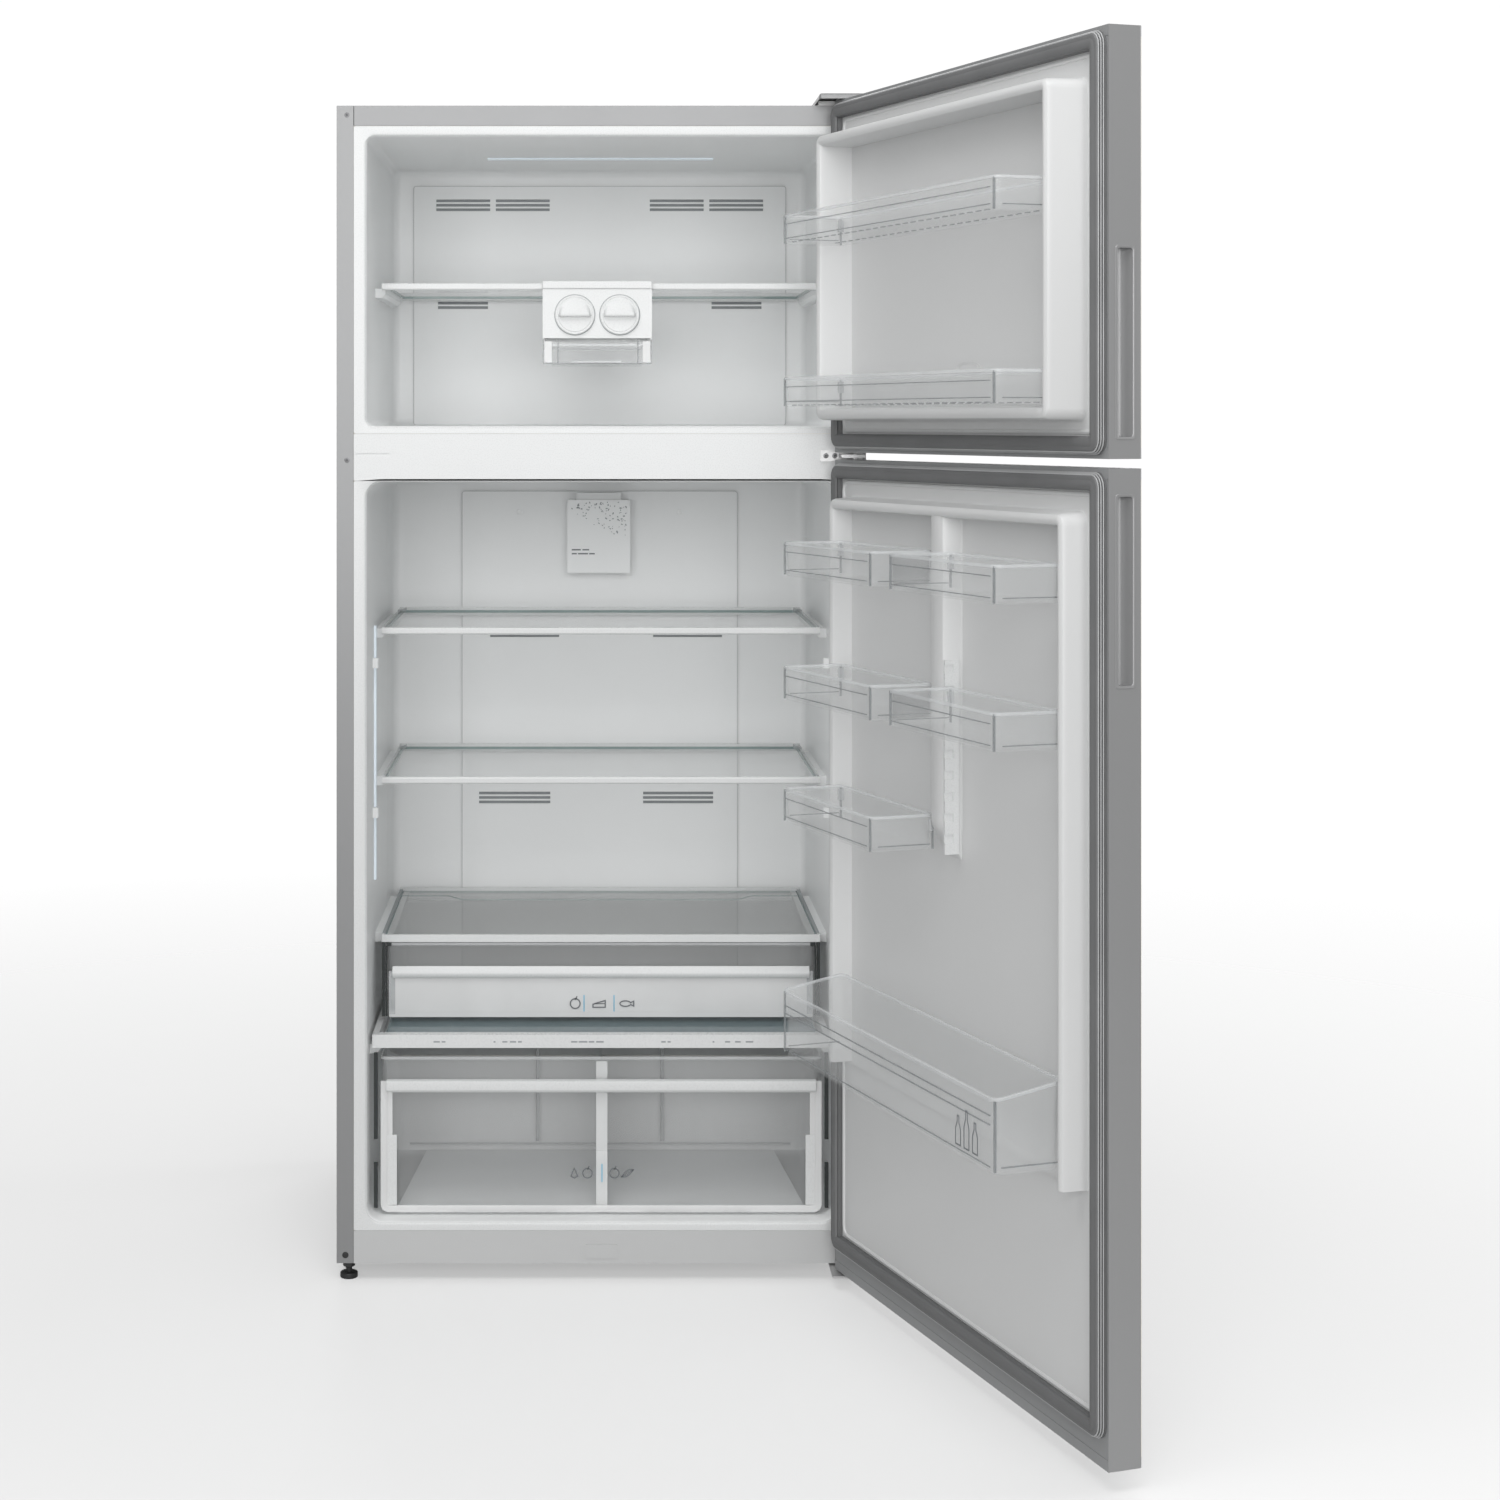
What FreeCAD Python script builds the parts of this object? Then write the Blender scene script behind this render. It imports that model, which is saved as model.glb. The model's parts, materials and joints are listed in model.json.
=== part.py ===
import FreeCAD, Part
import os
import re

import Sketcher
from FreeCAD import Vector

# Top freezer refrigerator, in millimetres. Every sub-part is drawn in the cabinet's own layout: X to the
# right, Y from the front face of the cabinet to its back, Z up from the floor, with both doors shut. Each
# sub-part's Placement then moves it to the row's origin, under the middle of the whole object, and swings
# the door pieces open about the hinge line.

SIZES = {
    # cabinet
    "cabinet_width": 840,
    "cabinet_height": 1864.5,
    "cabinet_depth": 670,
    "underside": 28,
    "sheet": 1,
    "liner_wall": 2,
    "side_strip": 27,
    "top_strip": 31.5,
    "gap": 0.3,
    # compartments
    "room_half": 372,
    "freezer_floor": 1356,
    "freezer_roof": 1815,
    "freezer_rear": 620,
    "fridge_floor": 94,
    "fridge_roof": 1267,
    "fridge_rear": 554,
    "panel_front": 546,
    "split_height": 1344,
    "freezer_round": 12,
    "fridge_round": 24,
    "cover_half_width": 334,
    "cover_height": 1786,
    "hump_front": 398,
    "hump_height": 262,
    "machine_front": 440,
    "machine_height": 205,
    "plinth_height": 80,
    "side_foam_base": 54,
    "floor_foam_base": 72,
    # shelves
    "shelf_half": 358,
    "shelf_front": 120,
    "shelf_rear": 528,
    "glass_thick": 4,
    "trim_depth": 8,
    "trim_height": 11.5,
    "freezer_shelf": 1589.5,
    "upper_shelf": 1027,
    "middle_shelf": 783,
    "lower_shelf": 525,
    # drawers
    "crisper_half": 353,
    "crisper_front": 34,
    "crisper_rear": 388,
    "crisper_base": 98,
    "crisper_top": 356,
    "cover_half": 366,
    "cover_front": 31,
    "cover_top": 383,
    "chiller_half": 350,
    "chiller_front": 121,
    "chiller_rear": 515,
    "chiller_base": 387,
    "chiller_top": 512,
    "drawer_wall": 3,
    "crisper_window_top": 286,
    # ice maker, which sits a little left of the middle
    "ice_middle": -6,
    "ice_half": 89,
    "ice_front": 108,
    "ice_rear": 322,
    "ice_panel_base": 1499,
    "ice_panel_top": 1592,
    "ice_axis": 1537,
    "ice_pitch": 73,
    "knob_radius": 32,
    "tray_half": 32,
    "ice_bin_base": 1457,
    # doors
    "door_half": 419,
    "door_face": -63,
    "door_back": -14,
    "freezer_door_base": 1315,
    "freezer_door_top": 1868,
    "fridge_door_base": 28,
    "fridge_door_top": 1303,
    "end_cap": 14,
    "seal_edge": 414,
    "seal_lip": 398,
    "seal_inner": 390,
    "seal_face": -0.4,
    "dyke_half": 366,
    "dyke_inner": 349,
    "field_face": -10,
    "grip_front": -49,
    "grip_rear": -27,
    "grip_depth": 18,
    "grip_length": 241,
    "bin_half": 344,
    "bin_rear": 8,
    "bin_front": 108,
    "bin_wall": 2.2,
    "bin_middle": 28,
    # hinge line and how far the doors stand open
    "pivot_x": 397.6,
    "pivot_y": -37.6,
    "pin_radius": 4,
    "pin_clearance": 0.06,
    "open_angle": 108.9,
    # feet and rollers
    "foot_x": 402,
    "foot_y": 20,
    "foot_radius": 14,
    "stem_radius": 5,
    "roller_radius": 14,
    "roller_y": 630,
    "roller_x": 340,
    # cooling
    "compressor_x": 160,
    "compressor_y": 555,
    "compressor_radius": 62,
    "fan_height": 1690,
    "blade_chord": 24,
    "blade_thick": 1.6,
    "blade_span": 42,
    "inlet_x": -300,
    "inlet_height": 120,
    # from the cabinet's front centre on the floor to the row's origin
    "shift_x": -132.5,
    "shift_y": 67.9,
}
BLADES = 5
BLADE_PITCH = 28
UPRIGHT = ("x", "y", "z")

os.makedirs("parts", exist_ok=True)
doc = FreeCAD.newDocument("top_freezer_refrigerator")
sheet = doc.addObject("Spreadsheet::Sheet", "dims")
for row, (alias, size) in enumerate(SIZES.items(), start=1):
    sheet.set(f"A{row}", alias)
    sheet.set(f"B{row}", str(size))
    sheet.setAlias(f"B{row}", alias)
doc.recompute()
probe = doc.addObject("Part::Vertex", "probe")
subparts = []


# ---------------------------------------------------------------- helpers

def formula(text):
    """The text as a FreeCAD expression, with each size read from the sheet."""
    def with_sheet(found):
        word = found.group()
        return f"dims.{word}" if word in SIZES else word

    return re.sub(r"[a-z_]+", with_sheet, str(text))


def number(text):
    """The value of a formula now."""
    probe.setExpression("X", formula(text))
    probe.recompute()
    return probe.X.Value


def name_of(kind):
    return f"{kind}_{len(doc.Objects)}"


def block(x, y, z):
    """A box between two formulas on each axis."""
    box = doc.addObject("Part::Box", name_of("block"))
    for side, axis, (low, high) in zip(("Length", "Width", "Height"), UPRIGHT, (x, y, z)):
        box.setExpression(side, formula(f"({high}) - ({low})"))
        box.setExpression(f"Placement.Base.{axis}", formula(low))
    return box


def taper(x, y, z, x_end, z_end):
    """A box that narrows along Y: x and z at its low face, x_end and z_end at its high face."""
    wedge = doc.addObject("Part::Wedge", name_of("taper"))
    pairs = {"X": x, "Y": y, "Z": z, "X2": x_end, "Z2": z_end}
    for axis, (low, high) in pairs.items():
        wedge.setExpression(f"{axis}min", formula(low))
        wedge.setExpression(f"{axis}max", formula(high))
    return wedge


TURNS = {
    "x": FreeCAD.Rotation(Vector(0, 1, 0), 90),
    "y": FreeCAD.Rotation(Vector(1, 0, 0), -90),
    "z": FreeCAD.Rotation(),
}


def rod(axis, centre, radius, span):
    """A cylinder along an axis: centre gives the other two coordinates in order, span its two ends."""
    cylinder = doc.addObject("Part::Cylinder", name_of("rod"))
    cylinder.Placement = FreeCAD.Placement(Vector(), TURNS[axis])
    cylinder.setExpression("Radius", formula(radius))
    cylinder.setExpression("Height", formula(f"({span[1]}) - ({span[0]})"))
    others = [other for other in UPRIGHT if other != axis]
    for other, place in zip(others, centre):
        cylinder.setExpression(f"Placement.Base.{other}", formula(place))
    cylinder.setExpression(f"Placement.Base.{axis}", formula(span[0]))
    return cylinder


def join(*pieces):
    if len(pieces) == 1:
        return pieces[0]
    fuse = doc.addObject("Part::MultiFuse", name_of("join"))
    fuse.Shapes = list(pieces)
    fuse.Refine = True
    return fuse


def cut(base, *tools):
    result = doc.addObject("Part::Cut", name_of("cut"))
    result.Base = base
    result.Tool = join(*tools)
    return result


def bundle(*pieces):
    """Separate solids that share one node."""
    compound = doc.addObject("Part::Compound", name_of("bundle"))
    compound.Links = list(pieces)
    return compound


def rounded(base, radius, wanted):
    """The base with the wanted edges rounded; wanted looks at an edge's direction and middle."""
    doc.recompute()
    fillet = doc.addObject("Part::Fillet", name_of("rounded"))
    fillet.Base = base
    size = number(radius)
    chosen = []
    for index, edge in enumerate(base.Shape.Edges, start=1):
        if not isinstance(edge.Curve, Part.Line):
            continue
        if wanted(edge.tangentAt(edge.FirstParameter), edge.CenterOfMass):
            chosen.append((index, size, size))
    fillet.Edges = chosen
    return fillet


def along(axis, where=lambda middle: True):
    """A test for edges that lie along an axis, and for where their middles are."""
    return lambda direction, middle: abs(getattr(direction, axis)) > 0.999 and where(middle)


def body_of(plane, outlines, start, end):
    """A PartDesign body padded from start to end across a plane; outlines are loops of formula pairs."""
    body = doc.addObject("PartDesign::Body", name_of("body"))
    sketch = body.newObject("Sketcher::SketchObject", name_of("sketch"))
    datum = [feature for feature in body.Origin.OriginFeatures if feature.Role == plane][0]
    sketch.AttachmentSupport = (datum, [""])
    sketch.MapMode = "FlatFace"
    backwards = plane == "XZ_Plane"
    sketch.setExpression("AttachmentOffset.Base.z", formula(f"-({start})" if backwards else start))
    for outline in outlines:
        first = sketch.GeometryCount
        corners = [Vector(number(u), number(v), 0) for u, v in outline]
        count = len(corners)
        for index in range(count):
            line = Part.LineSegment(corners[index], corners[(index + 1) % count])
            sketch.addGeometry(line, False)
        for index in range(count):
            after = first + (index + 1) % count
            sketch.addConstraint(Sketcher.Constraint("Coincident", first + index, 2, after, 1))
        for index, corner in enumerate(outline):
            for kind, place in zip(("DistanceX", "DistanceY"), corner):
                rule = Sketcher.Constraint(kind, -1, 1, first + index, 1, number(place))
                datum_index = sketch.addConstraint(rule)
                sketch.setExpression(f"Constraints[{datum_index}]", formula(place))
    pad = body.newObject("PartDesign::Pad", name_of("pad"))
    pad.Profile = sketch
    pad.Reversed = backwards
    pad.setExpression("Length", formula(f"({end}) - ({start})"))
    return body


def tray(x, y, z, wall, corner=None):
    """An open box with a floor; its upright edges are rounded where a corner radius is given."""
    outer = block(x, y, z)
    inner = block((f"{x[0]} + {wall}", f"{x[1]} - {wall}"), (f"{y[0]} + {wall}", f"{y[1]} - {wall}"),
                  (f"{z[0]} + {wall}", f"{z[1]} + 1"))
    if corner:
        outer = rounded(outer, corner, along("z"))
        inner = rounded(inner, f"{corner} - {wall}", along("z"))
    return cut(outer, inner)


CABINET_PLACE = "placement(vector(shift_x; shift_y; 0); rotation(vector(0; 0; 1); 0))"
DOOR_PLACE = (
    "placement(vector(shift_x; shift_y; 0); rotation(vector(0; 0; 1); open_angle);"
    " vector(pivot_x; pivot_y; 0))"
)


def finish(label, shape, place=CABINET_PLACE):
    """Name a sub-part and bind its Placement; a lone primitive keeps its own inside a bundle."""
    if shape.TypeId in ("Part::Box", "Part::Cylinder", "Part::Wedge"):
        shape = bundle(shape)
    shape.Label = label
    shape.setExpression("Placement", formula(place))
    subparts.append(shape)


def sides(text):
    """The same distance left and right of the middle."""
    return (f"-({text})", text)


# ---------------------------------------------------------------- cabinet: casing

def outer_shell():
    half = "cabinet_width/2"
    outside = block(sides(half), ("0", "cabinet_depth"), ("underside", "cabinet_height"))
    inside = block(sides(f"{half} - sheet"), ("sheet", "cabinet_depth + 1"),
                   ("underside - 1", "cabinet_height - sheet"))
    window = block(sides(f"{half} - side_strip"), ("-1", "sheet + 1"),
                   ("underside - 1", "cabinet_height - top_strip - 0.5"))
    locating_hole = rod("y", ("-406", "41"), 4, ("-1", "sheet + 1"))
    finish("outer_shell", cut(outside, inside, window, locating_hole))


def rear_panel():
    panel = block(sides("cabinet_width/2 - sheet"), ("cabinet_depth - 2", "cabinet_depth - sheet"),
                  ("machine_height + 25", "cabinet_height - sheet"))
    beads = [
        block((f"{x} - 3", f"{x} + 3"), ("cabinet_depth - sheet", "cabinet_depth"), ("320", "1780"))
        for x in (-270, 0, 270)
    ]
    finish("rear_panel", join(panel, *beads))


def base_pan():
    floor = block(sides("cabinet_width/2 - sheet - 0.5"), ("2", "cabinet_depth - 3"),
                  ("underside", "underside + 2"))
    front_wall = block(sides("370"), ("14", "16"), ("underside + 2", "plinth_height - 14.5"))
    side_walls = [block((f"{middle} - 1", f"{middle} + 1"), ("2", "cabinet_depth - 3"),
                        ("underside + 2", "side_foam_base"))
                  for middle in ("-cabinet_width/2 + 2.5", "cabinet_width/2 - 2.5")]
    stems = [rod("z", (f"{side}*foot_x", "foot_y"), "stem_radius + pin_clearance", ("20", "90"))
             for side in (-1, 1)]
    ears = []
    for side in (-1, 1):
        for edge in (-13, 13):
            middle = f"{side}*roller_x + {edge}"
            ear = block((f"{middle} - 1.5", f"{middle} + 1.5"), ("roller_y - 8", "roller_y + 8"),
                        ("6", "underside"))
            bore = rod("x", ("roller_y", "roller_radius"), "3 + pin_clearance",
                       (f"{middle} - 3", f"{middle} + 3"))
            ears.append(cut(ear, bore))
    wheel_wells = [block((f"{side}*roller_x - 11", f"{side}*roller_x + 11"),
                         ("roller_y - 16", "roller_y + 16"), ("20", "40")) for side in (-1, 1)]
    finish("base_pan", join(cut(join(floor, front_wall, *side_walls), *stems, *wheel_wells), *ears))


def cabinet_foam():
    """Insulation: slabs of foam that meet face to face round the two rooms and the machine space."""
    half = "cabinet_width/2 - sheet"
    room = "room_half + liner_wall"
    top = "cabinet_height - sheet"
    front, rear = "sheet + liner_wall", "cabinet_depth - 2"
    bottom = "floor_foam_base"
    fridge_rear = "fridge_rear + liner_wall"
    well = "machine_height + 2"
    left = block((f"-({half})", f"-({room})"), (front, rear), ("side_foam_base", top))
    right = block((room, half), (front, rear), ("side_foam_base", top))
    roof = block(sides(room), (front, rear), ("freezer_roof + liner_wall", top))
    divider = block(sides(room), (front, fridge_rear),
                    ("fridge_roof + liner_wall", "freezer_floor - liner_wall"))
    upper_rear = block(sides(room), ("freezer_rear + liner_wall", rear),
                       ("freezer_floor - liner_wall", "freezer_roof + liner_wall"))
    shoulder, shoulder_front = "cover_half_width + 3", "panel_front + 6 + liner_wall"
    beside = [block((f"-({room})", f"-({shoulder})"), (shoulder_front, "freezer_rear + liner_wall"),
                    ("freezer_floor - liner_wall", "freezer_roof + liner_wall")),
              block((shoulder, room), (shoulder_front, "freezer_rear + liner_wall"),
                    ("freezer_floor - liner_wall", "freezer_roof + liner_wall"))]
    above = block(sides(shoulder), (shoulder_front, "freezer_rear + liner_wall"),
                  ("cover_height + 3", "freezer_roof + liner_wall"))
    lower_rear = block(sides(room), (fridge_rear, rear), ("hump_height", "freezer_floor - liner_wall"))
    floor = block(sides(room), (front, "hump_front + liner_wall"), (bottom, "fridge_floor - liner_wall"))
    step = block(sides(room), ("hump_front + liner_wall", "machine_front"),
                 (bottom, "hump_height - liner_wall"))
    well_roof = block(sides(room), ("machine_front", rear), (well, "hump_height - liner_wall"))
    finish("cabinet_foam", bundle(left, right, roof, divider, upper_rear, *beside, above, lower_rear, floor,
                                  step, well_roof))


# ---------------------------------------------------------------- cabinet: rooms

def room_tub(rear, base, roof, corner, flange):
    """A moulded liner's outside, an open-fronted tub with a flange round its mouth, and its inside."""
    outside = rounded(block(sides("room_half + liner_wall"), ("0", f"{rear} + liner_wall"),
                            (f"{base} - liner_wall", f"{roof} + liner_wall")),
                      f"{corner} + liner_wall", along("y"))
    inside = rounded(block(sides("room_half"), ("-5", rear), (base, roof)), corner, along("y"))
    rim = block(sides("cabinet_width/2 - side_strip - gap"), ("0", "liner_wall"), flange)
    return join(outside, rim), inside


def ledge(side, low, high, start, end):
    """A shelf support moulded into a side wall."""
    inner, outer = f"{side}*352", f"{side}*(room_half + 1)"
    x = (inner, outer) if side > 0 else (outer, inner)
    return block(x, (start, end), (low, high))


def freezer_liner():
    """The tub narrows at the back panel to a well that holds the evaporator and its fan."""
    tub, room = room_tub("panel_front + 6", "freezer_floor", "freezer_roof", "freezer_round",
                         ("split_height", "cabinet_height - top_strip - 1"))
    well_outside = block(sides("cover_half_width + 3"), ("panel_front", "freezer_rear + liner_wall"),
                         ("freezer_floor - liner_wall", "cover_height + 3"))
    well = block(sides("cover_half_width + 1"), ("panel_front", "freezer_rear"),
                 ("freezer_floor", "cover_height + 1"))
    level = "freezer_shelf - 6.5"
    ledges = [ledge(side, f"{level} - 10", f"{level} - gap", "165", "500") for side in (-1, 1)]
    finish("freezer_liner", join(cut(join(tub, well_outside), room, well), *ledges))


def fridge_liner():
    """The tub is stepped at the bottom, over the machine space."""
    tub, room = room_tub("fridge_rear", "fridge_floor", "fridge_roof", "fridge_round",
                         ("plinth_height", "fridge_roof + liner_wall"))
    step_under = block(sides("room_half + 5"), ("hump_front + liner_wall", "700"),
                       ("fridge_floor - 5", "hump_height - liner_wall"))
    step_over = block(sides("room_half + 5"), ("hump_front", "700"), ("fridge_floor - 5", "hump_height"))
    ledges = []
    for side in (-1, 1):
        for shelf in ("upper_shelf", "middle_shelf", "lower_shelf"):
            ledges.append(ledge(side, f"{shelf} - 15", f"{shelf} - 5 - gap", "165", "500"))
        ledges.append(ledge(side, "cover_top - 32", "cover_top - 22", "60", "380"))
    finish("fridge_liner", join(cut(cut(tub, step_under), cut(room, step_over)), *ledges))


def mullion_cover():
    cover = block(sides("cabinet_width/2 - side_strip - gap"), ("0", "liner_wall + sheet"),
                  ("fridge_roof + liner_wall + gap", "split_height - gap"))
    groove = block(("-389", "-336"), ("-1", "1.2"), ("1308.5", "1313"))
    finish("mullion_cover", cut(cover, groove))


def slots(spans, rows, depth):
    """Vent slots: each span of X crossed by rows of (low, high) heights."""
    return [block(span, depth, row) for span in spans for row in rows]


def freezer_back_panel():
    half = "cover_half_width"
    plate = block(sides(half), ("panel_front", "panel_front + 6"), ("freezer_floor + 1", "cover_height"))
    depth = ("panel_front - 1", "panel_front + 8")
    upper = [(f"{z}", f"{z} + 5") for z in (1742, 1750, 1758)]
    lower = [(f"{z}", f"{z} + 5") for z in (1566, 1574, 1582, 1590)]
    spans = (("-294", "-197"), ("-187", "-90"), ("90", "187"), ("197", "294"))
    outer_spans = (("-291", "-201"), ("201", "291"))
    cuts = slots(spans, upper, depth) + slots(outer_spans, lower, depth)
    edge = "(cover_half_width - 2)"
    returns = [block((f"{side}*{edge} - 2", f"{side}*{edge} + 2"), ("panel_front + 6", "freezer_rear - gap"),
                     ("freezer_floor + 1", "cover_height")) for side in (-1, 1)]
    lid = block(sides(half), ("panel_front + 6", "freezer_rear - gap"), ("cover_height - 4", "cover_height"))
    finish("freezer_back_panel", join(cut(plate, *cuts), *returns, lid))


def fridge_duct_panel():
    plate = block(sides("247"), ("panel_front", "fridge_rear - gap"), ("hump_height + 40", "1238"))
    hollow = block(sides("243"), ("panel_front + 3", "fridge_rear + 2"), ("hump_height + 44", "1234"))
    depth = ("panel_front - 1", "panel_front + 5")
    upper = slots((("-197", "-73"), ("96", "220")), [("976", "980"), ("983", "987"), ("990", "994")], depth)
    lower = slots((("-217", "-89"), ("78", "204")), [(f"{z}", f"{z} + 5") for z in (677, 685, 693)], depth)
    finish("fridge_duct_panel", cut(plate, hollow, *upper, *lower))


def filter_cover():
    """The air filter's casing on the duct panel."""
    casing = rounded(block(("-58", "54"), ("502", "panel_front"), ("1094", "1224")), 4, along("y"))
    slot = block(("-46", "42"), ("506", "panel_front + 1"), ("1090", "1100"))
    collar = block(("-42", "38"), ("516", "panel_front"), ("1224", "1236"))
    finish("filter_cover", join(cut(casing, slot), collar))


# ---------------------------------------------------------------- shelves

def shelf_glass(top):
    return block(sides("shelf_half - 6"), ("shelf_front + trim_depth", "shelf_rear - 6"),
                 (f"{top} - 5", f"{top} - 5 + glass_thick"))


def shelf_trim(top, half="shelf_half"):
    """The front and rear edge mouldings, which grip the glass between them."""
    front = block(sides(half), ("shelf_front", "shelf_front + trim_depth"), (f"{top} - trim_height", top))
    rear = block(sides(half), ("shelf_rear - 6", "shelf_rear"), (f"{top} - 9", f"{top} + 4"))
    return [rounded(front, 3, along("x")), rear]


def shelves():
    finish("freezer_shelf_glass", shelf_glass("freezer_shelf - 1.5"))
    finish("freezer_shelf_trim", bundle(*shelf_trim("freezer_shelf")))
    levels = ("upper_shelf", "middle_shelf", "lower_shelf")
    finish("fridge_shelf_glass", bundle(*[shelf_glass(level) for level in levels]))
    trims = [moulding for level in levels[:2] for moulding in shelf_trim(level)]
    finish("fridge_shelf_trim", bundle(*trims))


def lower_shelf_frame():
    """The frame of the shelf over the chiller, with a hanging rail on each side."""
    front = block(sides("shelf_half"), ("shelf_front", "shelf_front + trim_depth"),
                  ("lower_shelf - trim_height", "lower_shelf"))
    rear = block(sides("shelf_half"), ("shelf_rear - 6", "shelf_rear"),
                 ("lower_shelf - trim_height", "lower_shelf + 4"))
    rails = []
    for side in (-1, 1):
        near, far = ("354", "shelf_half") if side > 0 else ("-shelf_half", "-354")
        rails.append(block((near, far), ("shelf_front + 2", "160"), ("440", "lower_shelf - 2")))
        rails.append(block((near, far), ("shelf_front + 2", "shelf_rear - 2"),
                           ("lower_shelf - 1", "lower_shelf + 1")))
    finish("lower_shelf_frame", join(front, rear, *rails))


def crisper_cover():
    front = block(sides("cover_half"), ("cover_front", "cover_front + 18"), ("cover_top - 21", "cover_top"))
    rails = [block((near, far), ("cover_front + 18", "394"), ("cover_top - 21", "cover_top"))
             for near, far in (("-cover_half", "-356"), ("356", "cover_half"))]
    rear = block(sides("cover_half"), ("386", "394"), ("cover_top - 14", "cover_top"))
    lips = block(sides("345"), ("cover_front + 18", "386"), ("cover_top - 4", "cover_top + 1"))
    shelf = block(sides("356"), ("cover_front + 18", "cover_front + 26"), ("cover_top - 12", "cover_top - 4"))
    finish("crisper_cover_frame", cut(join(front, rear, shelf, *rails), lips))
    finish("crisper_cover_glass", block(sides("345"), ("cover_front + 18", "386"),
                                        ("cover_top - 4", "cover_top")))


# ---------------------------------------------------------------- drawers

def chiller_drawer():
    tub = tray(sides("chiller_half"), ("chiller_front", "chiller_rear"), ("chiller_base", "chiller_top"),
               "drawer_wall", 8)
    bar = block(sides("chiller_half - 12"), ("chiller_front - 9", "chiller_front + 1"), ("455", "477"))
    handle = rounded(bar, 4, along("x", lambda middle: middle.y < 115))
    finish("chiller_drawer", join(tub, handle))


def crisper_drawer():
    tub = tray(sides("crisper_half"), ("crisper_front + 4", "crisper_rear"),
               ("crisper_base", "crisper_top - 10"), "drawer_wall", 10)
    front = block(sides("crisper_half"), ("crisper_front", "crisper_front + 5"),
                  ("crisper_base", "crisper_top"))
    window = block(sides("crisper_half - 26"), ("crisper_front - 1", "crisper_front + 4"),
                   ("crisper_base + 10", "crisper_window_top"))
    bar = block(sides("crisper_half - 10"), ("crisper_front - 8", "crisper_front + 1"), ("290", "318"))
    handle = rounded(bar, 3.5, along("x", lambda middle: middle.y < 30))
    finish("crisper_drawer", join(tub, cut(front, window), handle))


def crisper_divider():
    post = block(("-8", "10"), ("crisper_front + 4 + drawer_wall + gap + 1", "crisper_front + 16"),
                 ("crisper_base + drawer_wall", "338"))
    plate = block(("-0.5", "2.5"), ("crisper_front + 16", "crisper_rear - drawer_wall - 1"),
                  ("crisper_base + drawer_wall", "300"))
    finish("crisper_divider", join(post, plate))


# ---------------------------------------------------------------- ice maker

def ice_maker_frame():
    left, right = "ice_middle - ice_half", "ice_middle + ice_half"
    panel = block((left, right), ("ice_front", "ice_front + 4"), ("ice_panel_base", "ice_panel_top"))
    knob_axes = [(f"ice_middle + {side}*ice_pitch/2", "ice_axis") for side in (-1, 1)]
    holes = [rod("y", axis, "10", ("ice_front - 1", "ice_front + 5")) for axis in knob_axes]
    walls = []
    for side in (-1, 1):
        edge = f"ice_middle + {side}*(ice_half - 1.5)"
        walls.append(block((f"{edge} - 1.5", f"{edge} + 1.5"), ("ice_front + 4", "ice_rear"),
                           ("1484", "ice_panel_top - 19")))
        lip = f"ice_middle + {side}*(ice_half - 5)"
        walls.append(block((f"{lip} - 3", f"{lip} + 3"), ("ice_front + 6", "ice_rear"), ("1484", "1487")))
    back = block((left, right), ("ice_rear - 3", "ice_rear"), ("1500", "ice_panel_top - 19"))
    pivots = [rod("y", axis, "4 + pin_clearance", ("ice_rear - 5", "ice_rear + 1")) for axis in knob_axes]
    bin_clearance = block((f"{left} - 1", f"{right} + 1"), ("ice_front + 3.9", "ice_front + 4 + gap"),
                          ("1480", "ice_panel_base - gap"))
    finish("ice_maker_frame", cut(join(panel, *walls, back), *holes, *pivots, bin_clearance))


def ice_trays():
    """Two tipping trays, each with low dividers under an open basin, and the knobs that twist them."""
    for name, side in (("left", -1), ("right", 1)):
        middle = f"ice_middle + {side}*ice_pitch/2"
        shell = block((f"{middle} - tray_half", f"{middle} + tray_half"), ("ice_front + 14", "ice_rear - 14"),
                      ("ice_axis - 22", "ice_axis + 8"))
        basin = block((f"{middle} - tray_half + 2", f"{middle} + tray_half - 2"),
                      ("ice_front + 16", "ice_rear - 16"), ("ice_axis - 6", "ice_axis + 9"))
        cells = []
        for column in (-1, 1):
            for row in range(5):
                near = f"ice_front + 17.5 + {row}*36"
                cells.append(block((f"{middle} + {column}*15 - 13", f"{middle} + {column}*15 + 13"),
                                   (near, f"{near} + 33"), ("ice_axis - 20", "ice_axis - 5")))
        front_stub = rod("y", (middle, "ice_axis"), "6", ("ice_front + 6", "ice_front + 15"))
        rear_stub = rod("y", (middle, "ice_axis"), "4", ("ice_rear - 15", "ice_rear"))
        finish(f"ice_tray_{name}", join(cut(shell, basin, *cells), front_stub, rear_stub))
        finish(f"ice_knob_{name}", ice_knob(middle))


def ice_knob(middle):
    """A disc with a raised grip bar across it and a shaft into the tray."""
    disc = rod("y", (middle, "ice_axis"), "knob_radius", ("ice_front - 5", "ice_front - 1"))
    grip = block((f"{middle} - knob_radius + 4", f"{middle} + knob_radius - 4"),
                 ("ice_front - 12", "ice_front - 4"), ("ice_axis - 3.5", "ice_axis + 3.5"))
    shaft = rod("y", (middle, "ice_axis"), "8", ("ice_front - 2", "ice_front + 6"))
    return join(disc, grip, shaft)


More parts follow.
